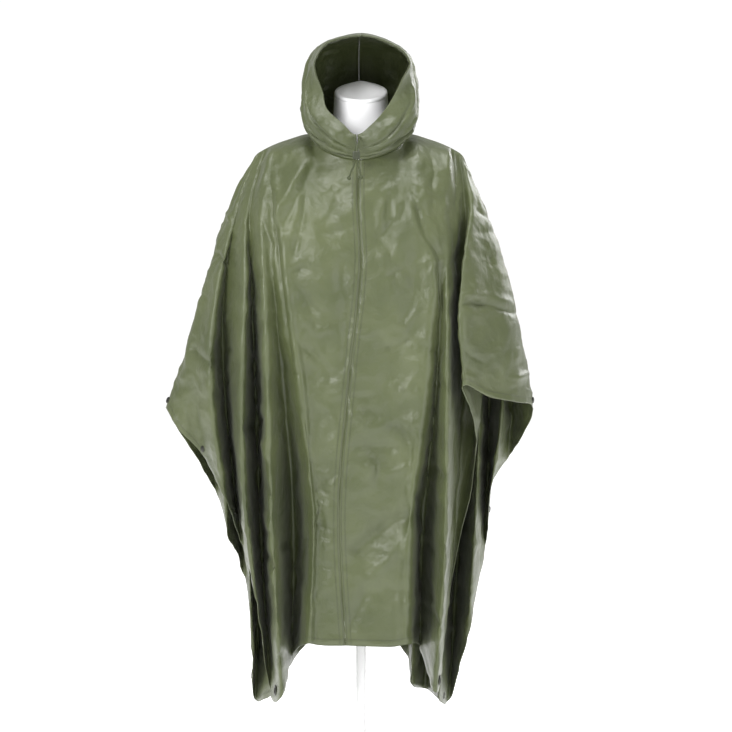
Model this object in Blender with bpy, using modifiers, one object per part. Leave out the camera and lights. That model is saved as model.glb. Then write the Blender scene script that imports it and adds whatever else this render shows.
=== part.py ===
"""A hooded rain poncho worn by a limbless dress form on its stand.

Metres, +Z up. The front faces -Y, and "left" is the -X side, as seen from the front.
The poncho is a 1.44 m x 2.23 m sheet in two widths joined down the middle. Each width is
a thin wall lofted through guides: the crest and valley lines of its folds, which run from
the shoulder line down to the hem or to the side edge.
"""

import math

import bmesh
import bpy
import numpy as np
from mathutils import Matrix, Vector
from mathutils.bvhtree import BVHTree

# Driving dimensions.
WALL = 0.0014          # cloth wall
GAP = 0.0003           # clearance between touching pieces
SEAM = 0.0010          # between two walls across a seam, where each wall leans a little
FORM_X = 0.004         # the dress form's middle
TIP_LEFT = 0.386       # wing tips, out from the middle
TIP_RIGHT = 0.348
TIP_Z = 0.702
FRONT_HEM_Z = 0.237    # centre of the front hem
BACK_HEM_Z = 0.262
NECK_WIDTH, NECK_FRONT, NECK_BACK = 0.100, -0.108, 0.072
NECK_FRONT_Z, NECK_RISE, NECK_CROWN = 1.190, 0.072, 0.022
SHOULDER_DROP = 0.018  # the cloth rounds over the shoulder this far before it falls
SHOULDER_REACH = 0.042
HOOD_LIFT = 0.0026     # the hood's lower edge stands on the neck seam
CASING_REACH = 0.055   # share of the hood, next to the face opening, that the casing covers
CORD = 0.0032
SNAP_RADIUS, SNAP_HEIGHT = 0.0065, 0.0022
EYELET_OUTER, EYELET_INNER, EYELET_HEIGHT = 0.0105, 0.0058, 0.0016
BASE_RADIUS, BASE_HEIGHT = 0.165, 0.012
POLE_RADIUS = 0.010
FORM_BOTTOM = 0.575
ROWS = 18              # steps down a panel
HOOD_ROWS = 12
PER_GUIDE = 2          # steps between two guides

# Finishes: colour, roughness, metallic.
FINISHES = {
    "coated_nylon": ((0.085, 0.105, 0.038), 0.42, 0.0),
    "nylon_binding": ((0.060, 0.075, 0.028), 0.55, 0.0),
    "braided_cord": ((0.045, 0.055, 0.022), 0.70, 0.0),
    "cord_lock_plastic": ((0.030, 0.036, 0.018), 0.45, 0.0),
    "blackened_metal": ((0.030, 0.032, 0.026), 0.40, 0.8),
    "white_form": ((0.86, 0.86, 0.87), 0.35, 0.0),
    "white_stand": ((0.84, 0.84, 0.85), 0.30, 0.0),
}

# One row for each guide that starts on the shoulder line, from the neck out to the ridge of
# the wing: where it starts, shared by front and back.
SHOULDER = (  # x, z
    (0.100, 1.248),
    (0.140, 1.237),
    (0.162, 1.2295),
    (0.177, 1.223),
    (0.186, 1.2185),
    (0.193, 1.2145),
    (0.199, 1.211),
    (0.203, 1.208),
    (0.206, 1.205),
    (0.209, 1.201),
    (0.211, 1.196),
)

# The centre seams run from the neck down. Columns: x, y, z.
FRONT_SEAM = (
    (-0.001, -0.140, 1.10),
    (0.004, -0.152, 1.00),
    (-0.016, -0.160, 0.78),
    (-0.038, -0.162, 0.50),
    (-0.026, -0.156, FRONT_HEM_Z),
)
BACK_SEAM = (
    (0.000, 0.122, 1.13),
    (0.001, 0.140, 0.95),
    (-0.002, 0.148, 0.74),
    (0.002, 0.150, 0.45),
    (0.000, 0.142, BACK_HEM_Z),
)

# Fold guides, from the neck outwards. Each row gives the guide's points below its start:
# x out from the middle, y, z. The last point lies on the hem or on the side edge.
FRONT_LEFT = (
    ("chest", (0.075, -0.145, 1.05), (0.078, -0.152, 0.75), (0.074, -0.150, 0.50), (0.064, -0.158, 0.237)),
    ("neck_fold", (0.118, -0.115, 1.14), (0.114, -0.150, 0.95), (0.098, -0.154, 0.72), (0.084, -0.152, 0.50), (0.085, -0.158, 0.239)),
    ("packing_crease", (0.160, -0.098, 1.14), (0.152, -0.146, 0.95), (0.120, -0.158, 0.74), (0.096, -0.154, 0.50), (0.104, -0.160, 0.240)),
    ("dark_valley", (0.182, -0.098, 1.11), (0.166, -0.132, 0.92), (0.150, -0.110, 0.74), (0.132, -0.025, 0.46), (0.134, -0.010, 0.205)),
    ("front_column", (0.196, -0.090, 1.10), (0.188, -0.150, 0.92), (0.182, -0.168, 0.74), (0.170, -0.172, 0.45), (0.150, -0.158, 0.138)),
    ("corner_valley", (0.212, -0.064, 1.10), (0.210, -0.080, 0.92), (0.206, -0.020, 0.74), (0.196, -0.005, 0.45), (0.176, -0.050, 0.137)),
    ("inner_ridge", (0.222, -0.062, 1.10), (0.222, -0.125, 0.93), (0.228, -0.150, 0.74), (0.224, -0.155, 0.52), (0.203, -0.150, 0.335)),
    ("side_valley", (0.238, -0.034, 1.10), (0.264, -0.046, 0.93), (0.268, -0.008, 0.76), (0.256, 0.006, 0.60), (0.233, -0.005, 0.425)),
    ("under_fold", (0.246, -0.036, 1.08), (0.280, -0.078, 0.92), (0.288, -0.104, 0.76), (0.262, -0.115, 0.52)),
    ("wing_crest", (0.255, -0.030, 1.08), (0.302, -0.052, 0.91), (0.324, -0.062, 0.76), (0.305, -0.045, 0.603)),
    ("tip_fold", (0.261, -0.016, 1.08), (0.313, -0.028, 0.93), (0.347, -0.034, 0.79), (0.356, -0.036, 0.655)),
)
FRONT_RIGHT = (
    ("chest", (0.070, -0.145, 1.05), (0.068, -0.152, 0.75), (0.050, -0.150, 0.50), (0.036, -0.158, 0.235)),
    ("neck_fold", (0.116, -0.115, 1.14), (0.112, -0.148, 0.95), (0.098, -0.156, 0.72), (0.080, -0.152, 0.50), (0.070, -0.158, 0.235)),
    ("chest_crease", (0.148, -0.098, 1.13), (0.146, -0.150, 0.95), (0.134, -0.158, 0.72), (0.108, -0.154, 0.48), (0.100, -0.156, 0.240)),
    ("dark_valley", (0.168, -0.096, 1.11), (0.162, -0.138, 0.93), (0.152, -0.118, 0.72), (0.126, -0.020, 0.44), (0.122, -0.010, 0.222)),
    ("front_column", (0.180, -0.084, 1.10), (0.175, -0.146, 0.93), (0.174, -0.168, 0.72), (0.168, -0.170, 0.42), (0.147, -0.156, 0.148)),
    ("corner_valley", (0.190, -0.070, 1.10), (0.186, -0.104, 0.93), (0.190, -0.060, 0.72), (0.180, -0.060, 0.42), (0.160, -0.085, 0.172)),
    ("flap_valley", (0.198, -0.058, 1.10), (0.194, -0.060, 0.93), (0.208, 0.000, 0.74), (0.196, 0.000, 0.52), (0.180, -0.010, 0.330)),
    ("flap_back", (0.210, -0.040, 1.10), (0.222, -0.040, 0.94), (0.246, -0.026, 0.80), (0.236, -0.040, 0.620)),
    ("flap_edge", (0.222, -0.046, 1.12), (0.205, -0.118, 1.00), (0.193, -0.150, 0.88), (0.203, -0.150, 0.743)),
    ("flap_face", (0.238, -0.036, 1.10), (0.248, -0.084, 0.97), (0.254, -0.112, 0.86), (0.256, -0.116, 0.722)),
    ("tip_fold", (0.254, -0.024, 1.08), (0.288, -0.048, 0.95), (0.309, -0.062, 0.83), (0.314, -0.070, 0.712)),
)
BACK_LEFT = (
    ("spine_fold", (0.052, 0.118, 1.13), (0.050, 0.142, 0.95), (0.050, 0.150, 0.74), (0.046, 0.154, 0.45), (0.040, 0.148, 0.260)),
    ("neck_fold", (0.104, 0.098, 1.15), (0.098, 0.136, 0.95), (0.092, 0.140, 0.74), (0.086, 0.080, 0.42), (0.084, 0.060, 0.245)),
    ("blade_ridge", (0.146, 0.088, 1.13), (0.134, 0.140, 0.93), (0.128, 0.162, 0.74), (0.126, 0.172, 0.42), (0.122, 0.160, 0.200)),
    ("back_valley", (0.170, 0.086, 1.11), (0.164, 0.112, 0.92), (0.162, 0.096, 0.74), (0.160, 0.020, 0.42), (0.160, 0.016, 0.142)),
    ("back_column", (0.188, 0.078, 1.10), (0.190, 0.136, 0.92), (0.194, 0.168, 0.74), (0.204, 0.176, 0.42), (0.212, 0.150, 0.100)),
    ("corner_valley", (0.206, 0.062, 1.10), (0.212, 0.076, 0.92), (0.218, 0.030, 0.74), (0.222, 0.020, 0.46), (0.214, 0.050, 0.205)),
    ("inner_ridge", (0.222, 0.060, 1.10), (0.234, 0.126, 0.93), (0.242, 0.160, 0.74), (0.246, 0.164, 0.54), (0.236, 0.150, 0.365)),
    ("side_valley", (0.238, 0.036, 1.10), (0.260, 0.050, 0.93), (0.270, 0.022, 0.76), (0.270, 0.008, 0.62), (0.264, 0.014, 0.450)),
    ("under_fold", (0.246, 0.040, 1.08), (0.276, 0.088, 0.92), (0.290, 0.118, 0.76), (0.288, 0.130, 0.520)),
    ("wing_crest", (0.255, 0.030, 1.08), (0.300, 0.058, 0.91), (0.326, 0.070, 0.76), (0.320, 0.066, 0.588)),
    ("tip_fold", (0.261, 0.016, 1.08), (0.313, 0.028, 0.93), (0.347, 0.036, 0.79), (0.358, 0.036, 0.648)),
)
BACK_RIGHT = (
    ("spine_fold", (0.052, 0.120, 1.13), (0.054, 0.136, 0.95), (0.050, 0.144, 0.74), (0.048, 0.130, 0.45), (0.044, 0.130, 0.256)),
    ("neck_fold", (0.104, 0.098, 1.15), (0.100, 0.140, 0.95), (0.096, 0.156, 0.74), (0.092, 0.172, 0.42), (0.098, 0.164, 0.190)),
    ("blade_ridge", (0.146, 0.088, 1.13), (0.134, 0.134, 0.93), (0.124, 0.130, 0.74), (0.112, 0.060, 0.42), (0.106, 0.070, 0.140)),
    ("back_valley", (0.170, 0.082, 1.11), (0.160, 0.132, 0.92), (0.150, 0.160, 0.74), (0.142, 0.176, 0.42), (0.136, 0.160, 0.124)),
    ("back_column", (0.188, 0.078, 1.10), (0.186, 0.102, 0.92), (0.180, 0.076, 0.74), (0.172, 0.030, 0.42), (0.160, 0.040, 0.114)),
    ("corner_valley", (0.204, 0.066, 1.10), (0.212, 0.122, 0.92), (0.214, 0.160, 0.74), (0.204, 0.174, 0.44), (0.184, 0.150, 0.102)),
    ("inner_ridge", (0.218, 0.050, 1.10), (0.234, 0.060, 0.93), (0.240, 0.030, 0.74), (0.234, 0.010, 0.50), (0.218, 0.020, 0.240)),
    ("side_valley", (0.232, 0.046, 1.10), (0.254, 0.110, 0.93), (0.264, 0.146, 0.76), (0.264, 0.158, 0.58), (0.256, 0.150, 0.405)),
    ("under_fold", (0.244, 0.034, 1.08), (0.272, 0.050, 0.93), (0.286, 0.030, 0.80), (0.282, 0.016, 0.66), (0.262, 0.024, 0.530)),
    ("wing_crest", (0.254, 0.034, 1.08), (0.290, 0.078, 0.92), (0.308, 0.096, 0.78), (0.302, 0.096, 0.598)),
    ("tip_fold", (0.258, 0.018, 1.08), (0.298, 0.036, 0.94), (0.324, 0.044, 0.80), (0.328, 0.040, 0.645)),
)
RIDGE_LEFT = (
    ("ridge", (0.236, 0.000, 1.155), (0.289, 0.000, 1.010), (0.341, 0.000, 0.825), (TIP_LEFT, 0.000, TIP_Z)),
)
RIDGE_RIGHT = (
    ("ridge", (0.228, 0.000, 1.155), (0.284, 0.000, 1.010), (0.328, 0.000, 0.825), (TIP_RIGHT, 0.000, TIP_Z)),
)

# Hood guides from the throat round to the nape: the angle round the neck seam where each
# starts, then x out from the middle, y, z up to the face opening.
HOOD_LEFT = (
    (0, (0.003, -0.122, 1.216), (0.004, -0.124, 1.228), (0.005, -0.120, 1.239)),
    (22, (0.052, -0.128, 1.226), (0.050, -0.126, 1.248), (0.031, -0.116, 1.260)),
    (42, (0.090, -0.094, 1.250), (0.086, -0.098, 1.280), (0.063, -0.104, 1.291)),
    (60, (0.108, -0.066, 1.272), (0.102, -0.078, 1.318), (0.072, -0.098, 1.325)),
    (90, (0.110, -0.018, 1.300), (0.106, -0.040, 1.352), (0.086, -0.098, 1.362)),
    (120, (0.100, 0.044, 1.320), (0.100, 0.010, 1.386), (0.086, -0.100, 1.390)),
    (150, (0.068, 0.094, 1.330), (0.072, 0.050, 1.418), (0.058, -0.100, 1.424)),
    (180, (0.000, 0.112, 1.330), (0.000, 0.070, 1.426), (-0.004, -0.020, 1.447), (-0.006, -0.098, 1.436)),
)
HOOD_RIGHT = (
    (0, (-0.001, -0.122, 1.216), (-0.002, -0.124, 1.228), (-0.003, -0.120, 1.239)),
    (22, (0.054, -0.128, 1.226), (0.048, -0.126, 1.248), (0.024, -0.118, 1.258)),
    (42, (0.092, -0.094, 1.248), (0.084, -0.100, 1.280), (0.050, -0.108, 1.287)),
    (60, (0.110, -0.066, 1.268), (0.106, -0.078, 1.314), (0.070, -0.100, 1.318)),
    (90, (0.112, -0.018, 1.296), (0.114, -0.040, 1.340), (0.086, -0.098, 1.350)),
    (120, (0.100, 0.044, 1.316), (0.106, 0.010, 1.378), (0.101, -0.096, 1.384)),
    (150, (0.068, 0.094, 1.328), (0.080, 0.050, 1.414), (0.072, -0.096, 1.416)),
    (180, (0.000, 0.112, 1.330), (0.000, 0.070, 1.426), (0.004, -0.020, 1.447), (0.006, -0.098, 1.436)),
)

# Rings of the dress form from its underside to its neck: z, half width, front, back.
FORM_RINGS = (
    (FORM_BOTTOM, 0.140, -0.092, 0.092),
    (0.64, 0.160, -0.104, 0.100),
    (0.80, 0.150, -0.096, 0.088),
    (0.92, 0.154, -0.102, 0.088),
    (1.04, 0.170, -0.112, 0.094),
    (1.11, 0.180, -0.104, 0.092),
    (1.155, 0.190, -0.082, 0.078),
    (1.185, 0.1910, -0.056, 0.056),
    (1.200, 0.1805, -0.045, 0.045),
    (1.214, 0.160, -0.043, 0.043),
    (1.226, 0.1185, -0.045, 0.045),
    (1.238, 0.0850, -0.048, 0.048),
    (1.256, 0.068, -0.050, 0.050),
    (1.280, 0.056, -0.051, 0.052),
)
FORM_SIDES = 40
NECK_RADIUS_X, NECK_RADIUS_Y = 0.0535, 0.052
NECK_TOP_FRONT, NECK_TOP_BACK = 1.304, 1.346
CAP_HEIGHT = 0.010

# The drawcord's two ends, from the casing's ends at the throat through the cord lock.
CORD_LEFT = (
    (-0.0095, -0.1260, 1.2340),
    (-0.0090, -0.1370, 1.2270),
    (-0.0080, -0.1400, 1.2180),
    (-0.0075, -0.1410, 1.2080),
    (-0.0075, -0.1410, 1.1960),
    (-0.0075, -0.1410, 1.1860),
    (-0.0100, -0.1430, 1.1760),
    (-0.0150, -0.1450, 1.1660),
    (-0.0180, -0.1470, 1.1560),
)
CORD_RIGHT = (
    (0.0015, -0.1260, 1.2340),
    (0.0005, -0.1370, 1.2270),
    (-0.0015, -0.1400, 1.2180),
    (-0.0025, -0.1410, 1.2080),
    (-0.0025, -0.1410, 1.1960),
    (-0.0025, -0.1410, 1.1860),
    (-0.0010, -0.1430, 1.1760),
    (0.0020, -0.1450, 1.1670),
    (0.0035, -0.1470, 1.1580),
)
LOCK_AT = (-0.0050, -0.1410, 1.1970)
LOCK_SIZE = (0.0150, 0.0100, 0.0150)
KNOT = 0.0042

# Snaps on the side edges: panel, share of the side edge from the wing tip to the corner.
EYELETS = (  # panel, half, columns past the corner's guide, steps up from the hem
    ("panel_left", "front", -1, 0.30), ("panel_right", "front", -1, 0.30),
    ("panel_left", "back", -1, 0.30), ("panel_right", "back", -1, 0.28),
)
SNAPS = (
    ("panel_left", "front", 0.04), ("panel_left", "front", 0.30), ("panel_left", "front", 0.62),
    ("panel_left", "back", 0.30), ("panel_left", "back", 0.62),
    ("panel_right", "front", 0.04), ("panel_right", "front", 0.62),
    ("panel_right", "back", 0.30), ("panel_right", "back", 0.62),
)


def finish(name):
    material = bpy.data.materials.get(name) or bpy.data.materials.new(name)
    colour, roughness, metallic = FINISHES[name]
    material.use_nodes = True
    shader = material.node_tree.nodes["Principled BSDF"]
    shader.inputs["Base Color"].default_value = (*colour, 1)
    shader.inputs["Roughness"].default_value = roughness
    shader.inputs["Metallic"].default_value = metallic
    return material


def place(name, mesh, material, collection):
    piece = bpy.data.objects.new(name, mesh)
    piece.data.materials.append(finish(material))
    piece.data.shade_smooth()
    piece.data.set_sharp_from_angle(angle=math.radians(50))
    collection.objects.link(piece)
    return piece


def along(points, shares):
    """Points at these shares of a smooth curve's length: a Catmull-Rom curve through the
    given points, with its speed set by the chords between them."""
    points = np.asarray(points, float)
    knots = np.concatenate([[0], np.cumsum(np.linalg.norm(np.diff(points, axis=0), axis=1))])
    knots /= knots[-1]
    slopes = np.gradient(points, knots, axis=0)
    span = np.clip(np.searchsorted(knots, shares, side="right") - 1, 0, len(knots) - 2)
    length = (knots[span + 1] - knots[span])[:, None]
    f = (shares[:, None] - knots[span][:, None]) / length
    return (
        (2 * f**3 - 3 * f**2 + 1) * points[span]
        + (f**3 - 2 * f**2 + f) * length * slopes[span]
        + (3 * f**2 - 2 * f**3) * points[span + 1]
        + (f**3 - f**2) * length * slopes[span + 1]
    )


def across(columns, steps, before=None, after=None):
    """A surface through neighbouring guides: columns is guides x rows x 3, and a Catmull-Rom
    curve runs along each row. before and after are guides past the ends, for its slopes."""
    first = columns[:1] * 2 - columns[1:2] if before is None else before[None]
    last = columns[-1:] * 2 - columns[-2:-1] if after is None else after[None]
    whole = np.concatenate([first, columns, last])
    made = []
    for i in range(1, len(whole) - 2):
        a, b, c, d = whole[i - 1 : i + 3]
        for f in np.arange(steps) / steps:
            made.append(
                0.5 * (2 * b + (c - a) * f + (2 * a - 5 * b + 4 * c - d) * f**2
                       + (3 * b - a - 3 * c + d) * f**3)
            )
    made.append(columns[-1])
    return np.array(made)


def neck_point(angle, side, lift=0.0):
    """A point of the neck seam, at an angle from the throat round to the nape."""
    turn = math.radians(angle)
    middle = (NECK_FRONT + NECK_BACK) / 2
    reach = (NECK_BACK - NECK_FRONT) / 2
    return (
        side * NECK_WIDTH * math.sin(turn),
        middle - reach * math.cos(turn),
        NECK_FRONT_Z + NECK_RISE * (1 - math.cos(turn)) / 2 + NECK_CROWN * math.sin(turn) ** 2 + lift,
    )


def guide_columns(guides, ridge, seam, side, facing):
    """Each guide's points at every row. facing is -1 at the front and 1 at the back."""
    shares = (np.arange(ROWS + 1) / ROWS) ** 1.1
    half_seam = side * SEAM / 2
    throat = 0 if facing < 0 else 180
    middle = [(x + half_seam, y, z) for x, y, z in (neck_point(throat, 0), *seam)]
    quarter = [neck_point(45 if facing < 0 else 135, side)]
    quarter += [(side * x, y, z) for x, y, z in guides[0][1:]]
    columns = [along(middle, shares), along(quarter, shares)]
    for (start_x, start_z), (_, *points) in zip(SHOULDER, guides[1:] + ridge):
        start = (side * start_x, 0.0, start_z)
        route = [(side * x, y, z) for x, y, z in points]
        if start_x < SHOULDER[4][0]:
            over = (side * (start_x + 0.004), facing * SHOULDER_REACH, start_z - SHOULDER_DROP)
            route = [over, *route]
        columns.append(along([start, *route], shares))
    return np.array(columns)


def grid_mesh(name, grids, outward):
    """One sheet from grids of points that share their edges. outward gives, for each grid,
    whether its faces are turned round."""
    shape = bmesh.new()
    for grid, turned in zip(grids, outward):
        points = [[shape.verts.new(p) for p in line] for line in grid]
        for a, b in zip(points, points[1:]):
            for j in range(len(a) - 1):
                corners = (a[j], a[j + 1], b[j + 1], b[j])
                shape.faces.new(corners[::-1] if turned else corners)
    bmesh.ops.remove_doubles(shape, verts=shape.verts, dist=2e-5)
    mesh = bpy.data.meshes.new(name)
    shape.to_mesh(mesh)
    shape.free()
    return mesh


def add_wall(piece, thickness, offset=0.0):
    wall = piece.modifiers.new("wall", "SOLIDIFY")
    wall.thickness = thickness
    wall.offset = offset
    wall.use_even_offset = False
    wall.use_rim = True


def make_panel(name, side, front, back, ridge, collection):
    """One width of the sheet: front and back joined along the shoulder and the wing's ridge."""
    front_columns = guide_columns(front, ridge, FRONT_SEAM, side, -1)
    back_columns = guide_columns(back, ridge, BACK_SEAM, side, 1)
    mirror = np.array([-1.0, 1.0, 1.0])
    front_grid = across(front_columns, PER_GUIDE, front_columns[1] * mirror, back_columns[-2])
    back_grid = across(back_columns, PER_GUIDE, back_columns[1] * mirror, front_columns[-2])
    shoulder = slice(2 * PER_GUIDE, None)
    shared = (front_grid[shoulder, 0] + back_grid[shoulder, 0]) / 2
    front_grid[shoulder, 0] = shared
    back_grid[shoulder, 0] = shared
    mesh = grid_mesh(name, (front_grid, back_grid), (side > 0, side < 0))
    panel = place(name, mesh, "coated_nylon", collection)
    add_wall(panel, WALL)
    return panel, {"front": front_grid, "back": back_grid}


def hood_columns(guides, side):
    shares = np.arange(HOOD_ROWS + 1) / HOOD_ROWS
    columns = []
    for angle, *points in guides:
        x, y, z = neck_point(angle, side, HOOD_LIFT)
        start = (x * 1.004, y, z)
        columns.append(along([start, *((side * px, py, pz) for px, py, pz in points)], shares))
    columns = np.array(columns)
    gap = side * SEAM / 2
    columns[0, :, 0] += gap
    columns[-1, :, 0] += gap
    return columns


def make_hood(name, side, guides, collection):
    columns = hood_columns(guides, side)
    mirror = np.array([-1.0, 1.0, 1.0])
    grid = across(columns, PER_GUIDE, columns[1] * mirror, columns[-2] * mirror)
    piece = place(name, grid_mesh(name, (grid,), (side > 0,)), "coated_nylon", collection)
    add_wall(piece, WALL)
    return piece, grid


def normals_of(grid, turned):
    along_rows = np.gradient(grid, axis=1)
    along_columns = np.gradient(grid, axis=0)
    normal = np.cross(along_columns, along_rows)
    normal /= np.linalg.norm(normal, axis=2, keepdims=True) + 1e-12
    return -normal if turned else normal


def make_casing(name, side, grid, collection):
    """The drawcord casing: a band on the hood's outside along the face opening."""
    rows = grid.shape[1]
    turned = side > 0
    normal = normals_of(grid, turned)
    inner = grid[:, rows - 1] * (1 - 0.9 * CASING_REACH) + grid[:, rows - 2] * 0.9 * CASING_REACH
    outer = grid[:, rows - 2] * 0.8 + grid[:, rows - 1] * 0.2
    lifts = normal[:, rows - 1] * (WALL + 3 * GAP)
    far_lifts = normal[:, rows - 2] * (WALL + 3 * GAP)
    band = np.stack([outer + far_lifts, (inner + outer) / 2 + lifts * 1.25, inner + lifts], axis=1)
    band[-1, :, 0] = grid[-1, -1, 0]
    band = band[1:]
    piece = place(name, grid_mesh(name, (band,), (side > 0,)), "nylon_binding", collection)
    add_wall(piece, WALL)
    return piece


def make_loft(name, rings, material, collection):
    """A closed form through rings of points, with flat ends."""
    shape = bmesh.new()
    loops = [[shape.verts.new(p) for p in ring] for ring in rings]
    for low, high in zip(loops, loops[1:]):
        for i in range(len(low)):
            j = (i + 1) % len(low)
            shape.faces.new((low[i], low[j], high[j], high[i]))
    shape.faces.new(loops[0][::-1])
    shape.faces.new(loops[-1])
    mesh = bpy.data.meshes.new(name)
    shape.to_mesh(mesh)
    shape.free()
    return place(name, mesh, material, collection)


def oval(z, half_width, front, back, squareness=2.25, tilt=0.0):
    """A superellipse ring; tilt raises it from front to back."""
    turns = np.arange(FORM_SIDES) / FORM_SIDES * 2 * math.pi
    cosine, sine = np.cos(turns), np.sin(turns)
    round_x = np.sign(cosine) * np.abs(cosine) ** (2 / squareness)
    round_y = np.sign(sine) * np.abs(sine) ** (2 / squareness)
    y = np.where(sine < 0, -front, back) * round_y
    x = FORM_X + half_width * round_x
    share = (y - front) / (back - front)
    return np.stack([x, y, z + tilt * share], axis=1)


def make_form(collection):
    rings = []
    table = np.array(FORM_RINGS)
    knots = np.arange(len(table), dtype=float)
    fine = np.arange(0, len(table) - 1 + 1e-9, 0.5)
    slopes = np.gradient(table, axis=0)
    for value in fine:
        i = min(int(value), len(table) - 2)
        f = value - knots[i]
        row = ((2 * f**3 - 3 * f**2 + 1) * table[i] + (f**3 - 2 * f**2 + f) * slopes[i]
               + (3 * f**2 - 2 * f**3) * table[i + 1] + (f**3 - f**2) * slopes[i + 1])
        rings.append(oval(*row))
    slant = NECK_TOP_BACK - NECK_TOP_FRONT
    rings.append(oval(NECK_TOP_FRONT, NECK_RADIUS_X, -NECK_RADIUS_Y, NECK_RADIUS_Y, 2.0, slant))
    make_loft("form_torso", rings, "white_form", collection)
    cap = []
    for lift, share in ((GAP, 1.0), (CAP_HEIGHT * 0.6, 1.0), (CAP_HEIGHT * 0.9, 0.97), (CAP_HEIGHT, 0.90)):
        cap.append(oval(NECK_TOP_FRONT + lift, NECK_RADIUS_X * share, -NECK_RADIUS_Y * share,
                        NECK_RADIUS_Y * share, 2.0, slant))
    make_loft("form_neck_cap", cap, "white_form", collection)


def turned_piece(name, profile, material, collection, steps=48):
    """A solid turned about +Z from (radius, z) points that run down its outer side."""
    mesh = bpy.data.meshes.new(name)
    mesh.from_pydata([(r, 0, z) for r, z in profile], [(i, i + 1) for i in range(len(profile) - 1)], [])
    piece = place(name, mesh, material, collection)
    screw = piece.modifiers.new("turn", "SCREW")
    screw.steps = steps
    screw.render_steps = steps
    screw.use_merge_vertices = True
    screw.merge_threshold = 1e-5
    return piece


def make_stand(collection):
    base = turned_piece(
        "stand_base",
        ((0, BASE_HEIGHT), (0.030, BASE_HEIGHT), (BASE_RADIUS - 0.008, BASE_HEIGHT * 0.8),
         (BASE_RADIUS - 0.001, BASE_HEIGHT * 0.5), (BASE_RADIUS, BASE_HEIGHT * 0.25), (BASE_RADIUS - 0.001, 0), (0, 0)),
        "white_stand", collection)
    pole = turned_piece(
        "stand_pole",
        ((0, FORM_BOTTOM - GAP), (POLE_RADIUS, FORM_BOTTOM - GAP), (POLE_RADIUS, BASE_HEIGHT + 0.020),
         (0.020, BASE_HEIGHT + 0.006), (0.022, BASE_HEIGHT + GAP), (0, BASE_HEIGHT + GAP)),
        "white_stand", collection, 32)
    base.location.x = FORM_X
    pole.location.x = FORM_X


def world_tree(piece):
    graph = bpy.context.evaluated_depsgraph_get()
    shape = bmesh.new()
    shape.from_object(piece, graph)
    tree = BVHTree.FromBMesh(shape)
    shape.free()
    return tree


def seat_on(tree, point, normal, radius):
    """How far a flat disc's underside has to stand off, along normal, to clear the wall."""
    normal = normal.normalized()
    side = normal.orthogonal().normalized()
    other = normal.cross(side)
    highest = -0.01
    for share in (0.0, 0.55, 1.0):
        for turn in np.arange(16) * math.pi / 8:
            offset = (side * math.cos(turn) + other * math.sin(turn)) * radius * share
            hit = tree.ray_cast(point + offset + normal * 0.012, -normal, 0.03)[0]
            if hit is not None:
                highest = max(highest, (hit - point).dot(normal))
    return highest + GAP


def disc_profile(name, radius, height, hole):
    """A round snap cap, or a ring when it has a hole, standing on z = 0."""
    if hole:
        outline = ((radius, 0), (hole, 0), (hole, height * 0.6), (hole * 1.12, height),
                   (radius * 0.85, height), (radius, height * 0.6), (radius, 0))
    else:
        outline = ((0, height), (radius * 0.55, height), (radius * 0.9, height * 0.75), (radius, height * 0.35),
                   (radius, 0), (0, 0))
    mesh = bpy.data.meshes.new(name)
    mesh.from_pydata([(r, 0, z) for r, z in outline], [(i, i + 1) for i in range(len(outline) - 1)], [])
    return mesh


def seat_disc(name, mesh, tree, point, normal, radius, steps, collection):
    piece = place(name, mesh, "blackened_metal", collection)
    screw = piece.modifiers.new("turn", "SCREW")
    screw.steps = steps
    screw.render_steps = steps
    screw.use_merge_vertices = True
    screw.merge_threshold = 1e-5
    lift = seat_on(tree, point, normal, radius)
    frame = normal.to_track_quat("Z", "Y").to_matrix().to_4x4()
    piece.matrix_world = Matrix.Translation(point + normal.normalized() * lift) @ frame
    return piece


def make_fasteners(panels, collection):
    bpy.context.view_layer.update()
    snap = disc_profile("snap", SNAP_RADIUS, SNAP_HEIGHT, 0)
    ring = disc_profile("eyelet", EYELET_OUTER, EYELET_HEIGHT, EYELET_INNER)
    counts = {}
    for panel, half, share in SNAPS:
        piece, grids = panels[panel]
        grid = grids[half]
        corner_column = 6 * PER_GUIDE
        columns = len(grid) - 1
        column = round(columns - share * (columns - corner_column))
        inset = grid[column, -2] * 0.45 + grid[column, -1] * 0.55
        turned = (panel == "panel_right") == (half == "front")
        normal = Vector(normals_of(grid, turned)[column, -2])
        key = f"snap_{half}_{panel[6:]}"
        counts[key] = counts.get(key, 0) + 1
        seat_disc(f"{key}_{counts[key]}", snap, world_tree(piece), Vector(inset), normal, SNAP_RADIUS, 16, collection)
    for panel, half, shift, steps in EYELETS:
        piece, grids = panels[panel]
        column = 6 * PER_GUIDE + shift
        line = grids[half][column]
        centre = line[-1] * (1 - steps) + line[-2] * steps
        turned = (panel == "panel_right") == (half == "front")
        normal = Vector(normals_of(grids[half], turned)[column, -1])
        seat_disc(f"eyelet_{half}_{panel[6:]}", ring, world_tree(piece), Vector(centre), normal, EYELET_OUTER, 24, collection)


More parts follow.
